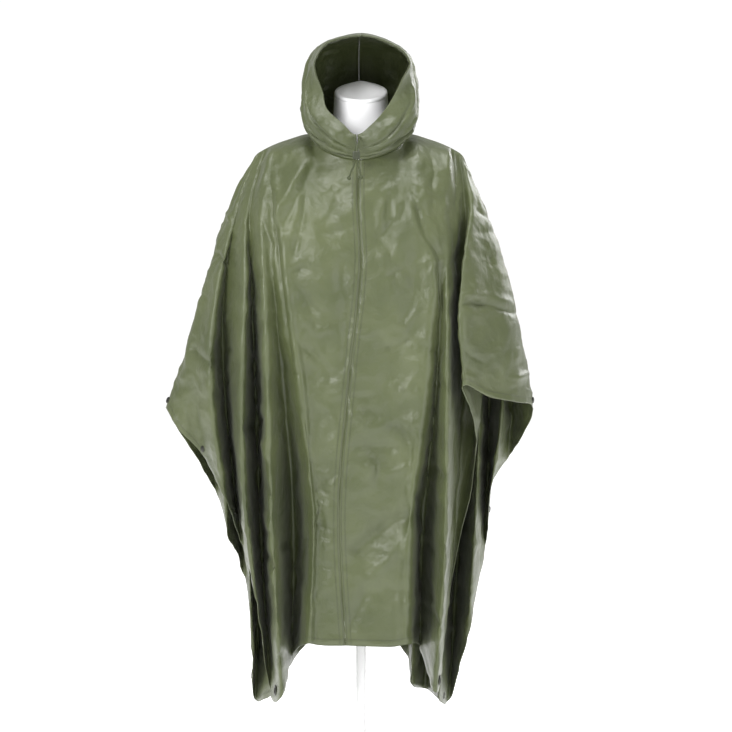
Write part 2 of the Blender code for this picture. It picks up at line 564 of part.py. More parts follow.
def make_cords(collection):
    for side, route in (("left", CORD_LEFT), ("right", CORD_RIGHT)):
        points = along(route, np.linspace(0, 1, 18))
        curve = bpy.data.curves.new(f"cord_{side}", "CURVE")
        curve.dimensions = "3D"
        curve.bevel_depth = CORD / 2
        curve.bevel_resolution = 2
        curve.use_fill_caps = True
        spline = curve.splines.new("POLY")
        spline.points.add(len(points) - 1)
        for point, where in zip(spline.points, points):
            point.co = (*where, 1)
        cord = bpy.data.objects.new(f"cord_{side}", curve)
        cord.data.materials.append(finish("braided_cord"))
        collection.objects.link(cord)
        ahead = Vector(points[-1] - points[-2]).normalized()
        mesh = bpy.data.meshes.new("knot")
        shape = bmesh.new()
        bmesh.ops.create_uvsphere(shape, u_segments=12, v_segments=8, radius=KNOT)
        shape.to_mesh(mesh)
        shape.free()
        knot = place(f"cord_knot_{side}", mesh, "braided_cord", collection)
        knot.location = Vector(points[-1]) + ahead * (KNOT + GAP)


def make_lock(collection, cutters):
    shape = bmesh.new()
    bmesh.ops.create_cube(shape, size=1.0)
    bmesh.ops.scale(shape, vec=LOCK_SIZE, verts=shape.verts)
    bmesh.ops.bevel(shape, geom=shape.edges, offset=0.0022, segments=3, profile=0.5, affect="EDGES")
    mesh = bpy.data.meshes.new("cord_lock")
    shape.to_mesh(mesh)
    shape.free()
    lock = place("cord_lock", mesh, "cord_lock_plastic", collection)
    lock.location = LOCK_AT
    for side, x in (("left", -0.0075), ("right", -0.0025)):
        shape = bmesh.new()
        bmesh.ops.create_cone(shape, cap_ends=True, segments=16, radius1=CORD / 2 + 2 * GAP, radius2=CORD / 2 + 2 * GAP, depth=0.03)
        mesh = bpy.data.meshes.new("lock_bore")
        shape.to_mesh(mesh)
        shape.free()
        bore = bpy.data.objects.new(f"lock_bore_{side}", mesh)
        bore.location = (x, LOCK_AT[1], LOCK_AT[2])
        bore.hide_render = True
        bore.display_type = "WIRE"
        cutters.objects.link(bore)
        cut = lock.modifiers.new(f"bore_{side}", "BOOLEAN")
        cut.operation = "DIFFERENCE"
        cut.solver = "EXACT"
        cut.object = bore


def main():
    for piece in list(bpy.data.objects):
        bpy.data.objects.remove(piece, do_unlink=True)
    scene = bpy.context.scene
    poncho = bpy.data.collections.new("rain_poncho")
    cutters = bpy.data.collections.new("cutters")
    scene.collection.children.link(poncho)
    scene.collection.children.link(cutters)
    make_form(poncho)
    make_stand(poncho)
    panels = {
        "panel_left": make_panel("panel_left", -1, FRONT_LEFT, BACK_LEFT, RIDGE_LEFT, poncho),
        "panel_right": make_panel("panel_right", 1, FRONT_RIGHT, BACK_RIGHT, RIDGE_RIGHT, poncho),
    }
    for side, sign, guides in (("left", -1, HOOD_LEFT), ("right", 1, HOOD_RIGHT)):
        _, grid = make_hood(f"hood_{side}", sign, guides, poncho)
        make_casing(f"hood_casing_{side}", sign, grid, poncho)
    make_cords(poncho)
    make_lock(poncho, cutters)
    make_fasteners(panels, poncho)


main()
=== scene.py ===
# Hooded rain poncho in olive coated nylon, draped over a white limbless dress form.
# Metres, +Z up, the front faces -Y. "Left" is the -X side, as seen from the front.
import math

import bmesh
import bpy
import numpy as np
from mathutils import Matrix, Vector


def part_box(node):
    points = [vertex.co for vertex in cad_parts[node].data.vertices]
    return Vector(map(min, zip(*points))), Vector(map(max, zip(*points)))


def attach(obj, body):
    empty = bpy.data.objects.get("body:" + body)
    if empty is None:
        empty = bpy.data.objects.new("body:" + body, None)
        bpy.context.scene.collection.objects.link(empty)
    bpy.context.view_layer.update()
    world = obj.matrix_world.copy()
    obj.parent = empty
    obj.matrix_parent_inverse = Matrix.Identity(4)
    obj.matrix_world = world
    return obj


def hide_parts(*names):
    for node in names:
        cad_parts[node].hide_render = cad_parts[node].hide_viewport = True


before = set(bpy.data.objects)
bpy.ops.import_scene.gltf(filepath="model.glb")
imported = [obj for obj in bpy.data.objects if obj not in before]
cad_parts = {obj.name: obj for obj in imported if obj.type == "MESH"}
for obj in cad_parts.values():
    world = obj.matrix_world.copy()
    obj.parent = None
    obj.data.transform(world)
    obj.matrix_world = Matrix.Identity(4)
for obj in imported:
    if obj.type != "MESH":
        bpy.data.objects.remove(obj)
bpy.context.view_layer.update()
print("frame loaded")

# ---------------------------------------------------------------- the sheet and its neck seam
clothSettings = {
    "thickness": 0.0011,
    "stepsPerGuide": 11,
    "rows": 160,
    "seamGap": 0.0002,
    "crumpleHeight": 0.0044,
    "crumpleSize": 0.055,
    "fineCrumpleHeight": 0.0018,
    "fineCrumpleSize": 0.024,
    "hemWidth": 0.014,
    "hemLift": 0.0008,
    "hemEdge": 0.0015,
    "smoothing": 3,
    "stillNearNeck": 0.05,
    "stillNearSeam": 0.008,
    "shoulderBand": 0.12,
    "shoulderDip": -0.001,
}
neckSettings = {
    "width": 0.100, "front": -0.108, "back": 0.072, "frontZ": 1.190, "rise": 0.072, "crown": 0.022}

# One row for each guide that starts on the shoulder line, from the neck out: x, z.
shoulderStarts = (
    (0.100, 1.248),
    (0.140, 1.237),
    (0.162, 1.2295),
    (0.177, 1.223),
    (0.186, 1.2185),
    (0.193, 1.2145),
    (0.199, 1.211),
    (0.203, 1.208),
    (0.206, 1.205),
    (0.209, 1.201),
    (0.211, 1.196),
)
# The centre seams from the neck down: x, y, z.
frontSeam = (
    (-0.001, -0.140, 1.10),
    (0.004, -0.152, 1.00),
    (-0.016, -0.160, 0.78),
    (-0.038, -0.162, 0.50),
    (-0.026, -0.156, 0.237),
)
backSeam = (
    (0.000, 0.122, 1.13),
    (0.001, 0.140, 0.95),
    (-0.002, 0.148, 0.74),
    (0.002, 0.150, 0.45),
    (0.000, 0.142, 0.262),
)
# Fold guides from the neck outwards. Each row: x out from the middle, y, z from the top down.
frontLeft = (
    ("chest", (0.075, -0.145, 1.05), (0.078, -0.152, 0.75), (0.074, -0.150, 0.50), (0.064, -0.158, 0.237)),
    ("neckFold", (0.118, -0.115, 1.14), (0.114, -0.150, 0.95), (0.098, -0.154, 0.72),
        (0.084, -0.152, 0.50), (0.085, -0.158, 0.239)),
    ("packingCrease", (0.160, -0.098, 1.14), (0.152, -0.146, 0.95), (0.120, -0.158, 0.74),
        (0.096, -0.154, 0.50), (0.104, -0.160, 0.240)),
    ("darkValley", (0.182, -0.098, 1.11), (0.166, -0.132, 0.92), (0.150, -0.110, 0.74),
        (0.132, -0.025, 0.46), (0.134, -0.010, 0.205)),
    ("frontColumn", (0.196, -0.090, 1.10), (0.188, -0.150, 0.92), (0.182, -0.168, 0.74),
        (0.170, -0.172, 0.45), (0.150, -0.158, 0.138)),
    ("cornerValley", (0.212, -0.064, 1.10), (0.210, -0.080, 0.92), (0.206, -0.020, 0.74),
        (0.196, -0.005, 0.45), (0.176, -0.050, 0.137)),
    ("innerRidge", (0.222, -0.062, 1.10), (0.222, -0.125, 0.93), (0.228, -0.150, 0.74),
        (0.224, -0.155, 0.52), (0.203, -0.150, 0.335)),
    ("sideValley", (0.238, -0.034, 1.10), (0.264, -0.046, 0.93), (0.268, -0.008, 0.76),
        (0.256, 0.006, 0.60), (0.233, -0.005, 0.425)),
    ("underFold", (0.246, -0.036, 1.08), (0.280, -0.078, 0.92), (0.288, -0.104, 0.76), (0.262, -0.115, 0.52)),
    ("wingCrest", (0.255, -0.030, 1.08), (0.302, -0.052, 0.91), (0.324, -0.062, 0.76),
        (0.305, -0.045, 0.603)),
    ("tipFold", (0.261, -0.016, 1.08), (0.313, -0.028, 0.93), (0.347, -0.034, 0.79), (0.356, -0.036, 0.655)),
)
frontRight = (
    ("chest", (0.070, -0.145, 1.05), (0.068, -0.152, 0.75), (0.050, -0.150, 0.50), (0.036, -0.158, 0.235)),
    ("neckFold", (0.116, -0.115, 1.14), (0.112, -0.148, 0.95), (0.098, -0.156, 0.72),
        (0.080, -0.152, 0.50), (0.070, -0.158, 0.235)),
    ("chestCrease", (0.148, -0.098, 1.13), (0.146, -0.150, 0.95), (0.134, -0.158, 0.72),
        (0.108, -0.154, 0.48), (0.100, -0.156, 0.240)),
    ("darkValley", (0.168, -0.096, 1.11), (0.162, -0.138, 0.93), (0.152, -0.118, 0.72),
        (0.126, -0.020, 0.44), (0.122, -0.010, 0.222)),
    ("frontColumn", (0.180, -0.084, 1.10), (0.175, -0.146, 0.93), (0.174, -0.168, 0.72),
        (0.168, -0.170, 0.42), (0.147, -0.156, 0.148)),
    ("cornerValley", (0.190, -0.070, 1.10), (0.186, -0.104, 0.93), (0.190, -0.060, 0.72),
        (0.180, -0.060, 0.42), (0.160, -0.085, 0.172)),
    ("flapValley", (0.198, -0.058, 1.10), (0.194, -0.060, 0.93), (0.208, 0.000, 0.74),
        (0.196, 0.000, 0.52), (0.180, -0.010, 0.330)),
    ("flapBack", (0.210, -0.040, 1.10), (0.222, -0.040, 0.94), (0.246, -0.026, 0.80), (0.236, -0.040, 0.620)),
    ("flapEdge", (0.222, -0.046, 1.12), (0.205, -0.118, 1.00), (0.193, -0.150, 0.88), (0.203, -0.150, 0.743)),
    ("flapFace", (0.238, -0.036, 1.10), (0.248, -0.084, 0.97), (0.254, -0.112, 0.86), (0.256, -0.116, 0.722)),
    ("tipFold", (0.254, -0.024, 1.08), (0.288, -0.048, 0.95), (0.309, -0.062, 0.83), (0.314, -0.070, 0.712)),
)
backLeft = (
    ("spineFold", (0.052, 0.118, 1.13), (0.050, 0.142, 0.95), (0.050, 0.150, 0.74), (0.046, 0.154, 0.45),
        (0.040, 0.148, 0.260)),
    ("neckFold", (0.104, 0.098, 1.15), (0.098, 0.136, 0.95), (0.092, 0.140, 0.74), (0.086, 0.080, 0.42),
        (0.084, 0.060, 0.245)),
    ("bladeRidge", (0.146, 0.088, 1.13), (0.134, 0.140, 0.93), (0.128, 0.162, 0.74), (0.126, 0.172, 0.42),
        (0.122, 0.160, 0.200)),
    ("backValley", (0.170, 0.086, 1.11), (0.164, 0.112, 0.92), (0.162, 0.096, 0.74), (0.160, 0.020, 0.42),
        (0.160, 0.016, 0.142)),
    ("backColumn", (0.188, 0.078, 1.10), (0.190, 0.136, 0.92), (0.194, 0.168, 0.74), (0.204, 0.176, 0.42),
        (0.212, 0.150, 0.100)),
    ("cornerValley", (0.206, 0.062, 1.10), (0.212, 0.076, 0.92), (0.218, 0.030, 0.74),
        (0.222, 0.020, 0.46), (0.214, 0.050, 0.205)),
    ("innerRidge", (0.222, 0.060, 1.10), (0.234, 0.126, 0.93), (0.242, 0.160, 0.74), (0.246, 0.164, 0.54),
        (0.236, 0.150, 0.365)),
    ("sideValley", (0.238, 0.036, 1.10), (0.260, 0.050, 0.93), (0.270, 0.022, 0.76), (0.270, 0.008, 0.62),
        (0.264, 0.014, 0.450)),
    ("underFold", (0.246, 0.040, 1.08), (0.276, 0.088, 0.92), (0.290, 0.118, 0.76), (0.288, 0.130, 0.520)),
    ("wingCrest", (0.255, 0.030, 1.08), (0.300, 0.058, 0.91), (0.326, 0.070, 0.76), (0.320, 0.066, 0.588)),
    ("tipFold", (0.261, 0.016, 1.08), (0.313, 0.028, 0.93), (0.347, 0.036, 0.79), (0.358, 0.036, 0.648)),
)
backRight = (
    ("spineFold", (0.052, 0.120, 1.13), (0.054, 0.136, 0.95), (0.050, 0.144, 0.74), (0.048, 0.130, 0.45),
        (0.044, 0.130, 0.256)),
    ("neckFold", (0.104, 0.098, 1.15), (0.100, 0.140, 0.95), (0.096, 0.156, 0.74), (0.092, 0.172, 0.42),
        (0.098, 0.164, 0.190)),
    ("bladeRidge", (0.146, 0.088, 1.13), (0.134, 0.134, 0.93), (0.124, 0.130, 0.74), (0.112, 0.060, 0.42),
        (0.106, 0.070, 0.140)),
    ("backValley", (0.170, 0.082, 1.11), (0.160, 0.132, 0.92), (0.150, 0.160, 0.74), (0.142, 0.176, 0.42),
        (0.136, 0.160, 0.124)),
    ("backColumn", (0.188, 0.078, 1.10), (0.186, 0.102, 0.92), (0.180, 0.076, 0.74), (0.172, 0.030, 0.42),
        (0.160, 0.040, 0.114)),
    ("cornerValley", (0.204, 0.066, 1.10), (0.212, 0.122, 0.92), (0.214, 0.160, 0.74),
        (0.204, 0.174, 0.44), (0.184, 0.150, 0.102)),
    ("innerRidge", (0.218, 0.050, 1.10), (0.234, 0.060, 0.93), (0.240, 0.030, 0.74), (0.234, 0.010, 0.50),
        (0.218, 0.020, 0.240)),
    ("sideValley", (0.232, 0.046, 1.10), (0.254, 0.110, 0.93), (0.264, 0.146, 0.76), (0.264, 0.158, 0.58),
        (0.256, 0.150, 0.405)),
    ("underFold", (0.244, 0.034, 1.08), (0.272, 0.050, 0.93), (0.286, 0.030, 0.80), (0.282, 0.016, 0.66),
        (0.262, 0.024, 0.530)),
    ("wingCrest", (0.254, 0.034, 1.08), (0.290, 0.078, 0.92), (0.308, 0.096, 0.78), (0.302, 0.096, 0.598)),
    ("tipFold", (0.258, 0.018, 1.08), (0.298, 0.036, 0.94), (0.324, 0.044, 0.80), (0.328, 0.040, 0.645)),
)
ridgeLeft = (
    ("ridge", (0.236, 0.000, 1.155), (0.289, 0.000, 1.010), (0.341, 0.000, 0.825), (0.386, 0.000, 0.702)),
)
ridgeRight = (
    ("ridge", (0.228, 0.000, 1.155), (0.284, 0.000, 1.010), (0.328, 0.000, 0.825), (0.348, 0.000, 0.702)),
)

# Creases pressed into the front by folding and packing. Each row: points along the crease
# (x, z), half width, height. A negative height is a trough.
frontCreases = (
    (((-0.178, 1.180), (-0.168, 1.084), (-0.152, 0.958), (-0.136, 0.830), (-0.120, 0.738)), 0.0045, -0.0050),
    (((-0.120, 0.738), (-0.104, 0.666), (-0.092, 0.578), (-0.094, 0.364), (-0.102, 0.238)), 0.0045, -0.0045),
    (((-0.166, 1.180), (-0.156, 1.084), (-0.141, 0.958), (-0.125, 0.830), (-0.108, 0.738)), 0.0060, 0.0040),
    (((0.100, 1.148), (0.130, 1.040), (0.154, 1.006), (0.158, 0.958), (0.162, 0.894),
        (0.168, 0.864)), 0.0045, -0.0050),
    (((0.090, 1.148), (0.118, 1.040), (0.142, 1.000), (0.148, 0.950), (0.152, 0.880)), 0.0060, 0.0040),
    (((0.192, 0.906), (0.252, 0.906), (0.318, 0.886)), 0.0060, -0.0050),
    (((0.194, 0.922), (0.252, 0.924), (0.314, 0.904)), 0.0080, 0.0035),
    (((0.230, 1.098), (0.264, 1.074)), 0.0050, -0.0040),
    (((-0.288, 1.014), (-0.258, 0.982)), 0.0060, -0.0050),
    (((-0.340, 0.826), (-0.290, 0.782)), 0.0070, -0.0060),
    (((-0.102, 1.190), (-0.142, 1.118), (-0.174, 1.052)), 0.0100, 0.0080),
    (((-0.090, 1.180), (-0.126, 1.110), (-0.150, 1.050)), 0.0080, -0.0060),
    (((-0.102, 1.150), (-0.112, 1.068), (-0.132, 0.986)), 0.0090, -0.0070),
    (((-0.050, 1.140), (-0.040, 1.098)), 0.0080, -0.0060),
    (((-0.024, 0.624), (0.030, 0.628), (0.086, 0.622)), 0.0060, -0.0050),
    (((-0.038, 0.724), (0.042, 0.722)), 0.0060, -0.0045),
    (((-0.030, 0.410), (0.040, 0.456), (0.118, 0.512)), 0.0180, -0.0120),
    (((0.006, 0.348), (0.092, 0.450)), 0.0160, 0.0100),
    (((-0.030, 0.250), (0.010, 0.330), (0.020, 0.400)), 0.0120, -0.0070),
    (((-0.086, 0.575), (-0.052, 0.568)), 0.0050, 0.0030),
    (((-0.088, 0.545), (-0.050, 0.536)), 0.0050, -0.0035),
    (((-0.088, 0.512), (-0.048, 0.505)), 0.0050, 0.0030),
    (((-0.090, 0.478), (-0.052, 0.466)), 0.0050, -0.0035),
    (((-0.090, 0.440), (-0.048, 0.432)), 0.0060, 0.0032),
    (((-0.090, 0.398), (-0.046, 0.384)), 0.0060, -0.0035),
    (((-0.088, 0.352), (-0.050, 0.350)), 0.0060, 0.0030),
    (((-0.048, 1.086), (-0.018, 1.036)), 0.0050, 0.0045),
    (((0.042, 1.016), (0.102, 0.936)), 0.0070, 0.0050),
    (((0.052, 0.960), (0.094, 0.976)), 0.0060, -0.0040),
    (((0.020, 1.070), (0.060, 1.000), (0.080, 0.930)), 0.0080, -0.0050),
    (((0.060, 1.150), (0.040, 1.080), (0.046, 1.020)), 0.0070, 0.0045),
    (((-0.040, 1.000), (-0.020, 0.880), (-0.030, 0.760)), 0.0120, -0.0070),
    (((-0.138, 0.958), (-0.090, 0.900), (-0.058, 0.880)), 0.0070, -0.0045),
    (((-0.120, 0.880), (-0.080, 0.850), (-0.044, 0.860)), 0.0060, 0.0042),
    (((-0.116, 0.830), (-0.070, 0.790), (-0.050, 0.740)), 0.0070, -0.0045),
    (((-0.096, 0.730), (-0.060, 0.700), (-0.040, 0.660)), 0.0060, 0.0042),
    (((-0.020, 0.700), (0.020, 0.660), (0.080, 0.680)), 0.0070, 0.0048),
    (((0.000, 0.600), (0.050, 0.570), (0.110, 0.590)), 0.0070, 0.0048),
    (((0.010, 0.650), (0.040, 0.590), (0.036, 0.540)), 0.0060, -0.0045),
    (((0.070, 0.680), (0.100, 0.630), (0.096, 0.560)), 0.0060, -0.0045),
    (((0.110, 0.760), (0.080, 0.720), (0.060, 0.760)), 0.0060, 0.0040),
    (((0.020, 0.860), (0.060, 0.820), (0.110, 0.840)), 0.0070, -0.0042),
    (((0.120, 0.900), (0.090, 0.860), (0.060, 0.880)), 0.0060, 0.0038),
    (((-0.190, 0.640), (-0.176, 0.600)), 0.0060, 0.0050),
    (((-0.184, 0.560), (-0.168, 0.520)), 0.0060, -0.0045),
    (((-0.188, 0.500), (-0.172, 0.460)), 0.0060, 0.0045),
    (((-0.180, 0.420), (-0.166, 0.380)), 0.0060, -0.0040),
)


# ---------------------------------------------------------------- shapes
def hermite(points, slopes, span, f, length=1.0):
    # a cubic from each point to the next, leaving and arriving with their slopes
    return ((2 * f**3 - 3 * f**2 + 1) * points[span] + (f**3 - 2 * f**2 + f) * length * slopes[span]
            + (3 * f**2 - 2 * f**3) * points[span + 1] + (f**3 - f**2) * length * slopes[span + 1])


def curveThrough(points, shares):
    # a Catmull-Rom curve through the points, read at shares of its chord length
    points = np.asarray(points, float)
    knots = np.concatenate([[0], np.cumsum(np.linalg.norm(np.diff(points, axis=0), axis=1))])
    knots = knots / knots[-1]
    slopes = np.gradient(points, knots, axis=0)
    span = np.clip(np.searchsorted(knots, shares, side="right") - 1, 0, len(knots) - 2)
    length = (knots[span + 1] - knots[span])[:, None]
    f = (shares[:, None] - knots[span][:, None]) / length
    return hermite(points, slopes, span, f, length)


def surfaceAcross(columns, steps, before, after):
    # a Catmull-Rom curve across the guides in every row; before and after lie past the ends
    whole = np.concatenate([before[None], columns, after[None]])
    f = (np.arange(steps) / steps)[None, :, None, None]
    a, b, c, d = (whole[k : len(columns) - 1 + k][:, None] for k in range(4))
    made = 0.5 * (2 * b + (c - a) * f + (2 * a - 5 * b + 4 * c - d) * f**2 + (3 * b - a - 3 * c + d) * f**3)
    return np.concatenate([made.reshape(-1, *columns.shape[1:]), columns[-1:]])


def neckPoint(angle, side, lift=0.0):
    turn = math.radians(angle)
    middle = (neckSettings["front"] + neckSettings["back"]) / 2
    reach = (neckSettings["back"] - neckSettings["front"]) / 2
    z = neckSettings["frontZ"] + neckSettings["rise"] * (1 - math.cos(turn)) / 2
    return (side * neckSettings["width"] * math.sin(turn), middle - reach * math.cos(turn),
            z + neckSettings["crown"] * math.sin(turn) ** 2 + lift)


def guideColumns(guides, ridge, seam, side, facing):
    # every guide's points at every row; facing is -1 at the front and 1 at the back
    shares = (np.arange(clothSettings["rows"] + 1) / clothSettings["rows"]) ** 1.1
    halfSeam = side * clothSettings["seamGap"] / 2
    throat = 0 if facing < 0 else 180
    middle = [(x + halfSeam, y, z) for x, y, z in (neckPoint(throat, 0), *seam)]
    quarter = [neckPoint(45 if facing < 0 else 135, side)]
    quarter += [(side * x, y, z) for x, y, z in guides[0][1:]]
    columns = [curveThrough(middle, shares), curveThrough(quarter, shares)]
    for (startX, startZ), (_, *points) in zip(shoulderStarts, guides[1:] + ridge):
        route = [(side * x, y, z) for x, y, z in points]
        if startX < shoulderStarts[4][0]:
            route = [(side * (startX + 0.004), facing * 0.042, startZ - 0.018), *route]
        columns.append(curveThrough([(side * startX, 0.0, startZ), *route], shares))
    return np.array(columns)


def normalsOf(grid, turned):
    # the cross product of the steps along the two directions, made unit length
    normal = np.cross(np.gradient(grid, axis=0), np.gradient(grid, axis=1))
    normal = normal / (np.linalg.norm(normal, axis=2, keepdims=True) + 1e-12)
    return -normal if turned else normal


def smoothGrid(field, times):
    # averages each value with its neighbours in both directions, edges kept
    for _ in range(times):
        field = field.copy()
        field[1:-1] = field[1:-1] * 0.5 + (field[:-2] + field[2:]) * 0.25
        field[:, 1:-1] = field[:, 1:-1] * 0.5 + (field[:, :-2] + field[:, 2:]) * 0.25
    return field


latticeSide = 64
lattice = np.random.default_rng(7).random((latticeSide, latticeSide, latticeSide))


def valueNoise(points, size, shift=0.0):
    # random values on a cubic lattice, eased between neighbours: 0 to 1
    scaled = points / size + shift + 100.0
    cell = np.floor(scaled).astype(int)
    f = scaled - cell
    f = f * f * (3 - 2 * f)
    total = np.zeros(points.shape[:-1])
    for dx in (0, 1):
        for dy in (0, 1):
            for dz in (0, 1):
                share = np.ones_like(total)
                for axis, step in enumerate((dx, dy, dz)):
                    share = share * (f[..., axis] if step else 1 - f[..., axis])
                index = (cell + (dx, dy, dz)) % latticeSide
                total += share * lattice[index[..., 0], index[..., 1], index[..., 2]]
    return total


def crumple(points, size, shift):
    # packed-cloth crumples: sharp ridges where warped noise crosses its middle
    warp = np.stack([valueNoise(points, size * 2.2, shift + k) for k in (3.1, 7.7, 11.3)], axis=-1)
    bent = points + (warp - 0.5) * size * 1.6
    ridge = 1 - np.abs(2 * valueNoise(bent, size, shift) - 1) * 1.6
    second = 1 - np.abs(2 * valueNoise(bent * (1.0, 1.0, 0.8), size * 0.62, shift + 23.0) - 1) * 1.6
    return ridge * 0.65 + second * 0.35 - 0.45


def creaseField(x, z, creases):
    # each crease is a soft ridge or trough about a broken line, fading towards its ends
    field = np.zeros_like(x)
    for points, width, height in creases:
        nearest = np.full(x.shape, 1e3)
        place = np.zeros_like(x)
        total = sum(math.dist(a, b) for a, b in zip(points, points[1:]))
        run = 0.0
        for (ax, az), (bx, bz) in zip(points, points[1:]):
            length = math.dist((ax, az), (bx, bz))
            along = np.clip(((x - ax) * (bx - ax) + (z - az) * (bz - az)) / length**2, 0, 1)
            away = np.hypot(x - ax - along * (bx - ax), z - az - along * (bz - az))
            closer = away < nearest
            place = np.where(closer, (run + along * length) / total, place)
            nearest = np.where(closer, away, nearest)
            run += length
        ends = np.clip(np.minimum(place, 1 - place) * 6, 0.15, 1)
        field += height * ends * (0.6 * np.exp(-((nearest / width) ** 2)) + 0.4 * np.exp(-nearest / width))
    return field


def scatteredCreases(count, seed, xRange, zRange):
    # more creases of the same kinds, for the places with none listed
    draw = np.random.default_rng(seed)
    rows = []
    for _ in range(count):
        x, z = draw.uniform(*xRange), draw.uniform(*zRange)
        turn, length = draw.uniform(0, math.pi), draw.uniform(0.025, 0.09)
        bend = draw.uniform(-0.5, 0.5)
        middle = (x + math.cos(turn) * length / 2, z + math.sin(turn) * length / 2)
        end = (middle[0] + math.cos(turn + bend) * length / 2, middle[1] + math.sin(turn + bend) * length / 2)
        width = draw.uniform(0.004, 0.009)
        height = draw.choice((-1, 1)) * draw.uniform(0.0018, 0.0042)
        rows.append((((x, z), middle, end), width, height))
    return tuple(rows)


def lengthAlong(grid, axis):
    # how far each point lies along its own row or column of the cloth
    steps = np.linalg.norm(np.diff(grid, axis=axis), axis=2)
    total = np.cumsum(steps, axis=axis)
    return np.insert(total, 0, 0, axis=axis)


def meshFromGrids(name, grids, indexGrids, turned, attributes, material, thickness):
    # one sheet from grids of vertices that may share some, made a thin wall
    points = np.zeros((max(i.max() for i in indexGrids) + 1, 3))
    values = {key: np.zeros(len(points)) for key in attributes}
    faces = []
    for k in reversed(range(len(grids))):
        index = indexGrids[k]
        points[index.ravel()] = grids[k].reshape(-1, 3)
        for key in attributes:
            values[key][index.ravel()] = attributes[key][k].ravel()
        quads = np.stack([index[:-1, :-1], index[:-1, 1:], index[1:, 1:], index[1:, :-1]], axis=-1)
        quads = quads.reshape(-1, 4)
        faces.append(quads[:, ::-1] if turned[k] else quads)
    faces = np.concatenate(faces)
    mesh = bpy.data.meshes.new(name)
    mesh.from_pydata(points, [], faces)
    for key, value in values.items():
        mesh.attributes.new(key, "FLOAT", "POINT").data.foreach_set("value", value.astype(np.float32))
    loops = np.empty(len(mesh.loops), np.int32)
    mesh.loops.foreach_get("vertex_index", loops)
    flat = np.stack([values["across"][loops], values["down"][loops]], axis=1)
    mesh.uv_layers.new(name="cut").data.foreach_set("uv", flat.ravel().astype(np.float32))
    mesh.shade_smooth()
    piece = bpy.data.objects.new(name, mesh)
    bpy.context.scene.collection.objects.link(piece)
    mesh.materials.append(material)
    wall = piece.modifiers.new("wall", "SOLIDIFY")
    wall.thickness = thickness
    wall.offset = 0.0
    return piece


# ---------------------------------------------------------------- materials
def newGroup(name, inputs, outputs):
    group = bpy.data.node_groups.new(name, "ShaderNodeTree")
    for label, kind, value in inputs:
        socket = group.interface.new_socket(label, in_out="INPUT", socket_type=kind)
        if value is not None:
            socket.default_value = value
    for label, kind in outputs:
        group.interface.new_socket(label, in_out="OUTPUT", socket_type=kind)
    return group, group.nodes.new("NodeGroupInput"), group.nodes.new("NodeGroupOutput")


def node(tree, kind, **settings):
    made = tree.nodes.new(kind)
    for key, value in settings.items():
        setattr(made, key, value)
    return made


def mathNode(tree, operation, first, second=None, third=None):
    made = node(tree, "ShaderNodeMath", operation=operation)
    for socket, value in zip(made.inputs, (first, second, third)):
        if value is None:
            continue
        if isinstance(value, (int, float)):
            socket.default_value = value
        else:
            tree.links.new(value, socket)
    return made.outputs[0]


def crumpleGroup():
    # small crumples and a fine plain weave, as one height
    group, start, end = newGroup("clothGrain", (
        ("Vector", "NodeSocketVector", None), ("Flat", "NodeSocketVector", None),
        ("Crumple size", "NodeSocketFloat", 60.0), ("Weave size", "NodeSocketFloat", 1400.0),
    ), (("Height", "NodeSocketFloat"), ("Patches", "NodeSocketFloat")))
    links = group.links
    warp = node(group, "ShaderNodeTexNoise")
    warp.inputs["Scale"].default_value = 14.0
    warp.inputs["Detail"].default_value = 2.0
    links.new(start.outputs["Vector"], warp.inputs["Vector"])
    push = node(group, "ShaderNodeVectorMath", operation="MULTIPLY_ADD")
    links.new(warp.outputs["Color"], push.inputs[0])
    push.inputs[1].default_value = (0.05, 0.05, 0.05)
    links.new(start.outputs["Vector"], push.inputs[2])
    facets = node(group, "ShaderNodeTexVoronoi", feature="F1")
    links.new(push.outputs[0], facets.inputs["Vector"])
    links.new(start.outputs["Crumple size"], facets.inputs["Scale"])
    ridges = node(group, "ShaderNodeTexNoise")
    ridges.inputs["Detail"].default_value = 4.0
    links.new(push.outputs[0], ridges.inputs["Vector"])
    links.new(mathNode(group, "MULTIPLY", start.outputs["Crumple size"], 0.8), ridges.inputs["Scale"])
    folded = mathNode(group, "ABSOLUTE", mathNode(group, "SUBTRACT", ridges.outputs["Fac"], 0.5))
    weave = node(group, "ShaderNodeTexChecker")
    links.new(start.outputs["Flat"], weave.inputs["Vector"])
    links.new(start.outputs["Weave size"], weave.inputs["Scale"])
    lowered = mathNode(group, "MULTIPLY", folded, -1.4)
    height = mathNode(group, "MULTIPLY_ADD", facets.outputs["Distance"], 0.45, lowered)
    height = mathNode(group, "MULTIPLY_ADD", weave.outputs["Fac"], 0.02, height)
    links.new(height, end.inputs["Height"])
    patches = node(group, "ShaderNodeTexNoise")
    patches.inputs["Scale"].default_value = 9.0
    patches.inputs["Detail"].default_value = 5.0
    links.new(start.outputs["Vector"], patches.inputs["Vector"])
    links.new(patches.outputs["Fac"], end.inputs["Patches"])
    return group


def stitchGroup():
    # a mask that is 1 on a line of stitches, at a distance from an edge
    group, start, end = newGroup("stitchLine", (
        ("Distance", "NodeSocketFloat", 1.0), ("Along", "NodeSocketFloat", 0.0),
        ("Inset", "NodeSocketFloat", 0.012), ("Half width", "NodeSocketFloat", 0.0012),
    ), (("Mask", "NodeSocketFloat"),))
    offset = mathNode(group, "SUBTRACT", start.outputs["Distance"], start.outputs["Inset"])
    away = mathNode(group, "ABSOLUTE", offset)
    line = mathNode(group, "LESS_THAN", away, start.outputs["Half width"])
    beat = mathNode(group, "FRACT", mathNode(group, "MULTIPLY", start.outputs["Along"], 280.0))
    stitch = mathNode(group, "LESS_THAN", beat, 0.72)
    group.links.new(mathNode(group, "MULTIPLY", line, stitch), end.inputs["Mask"])
    return group


clothGrain = crumpleGroup()
stitchLine = stitchGroup()


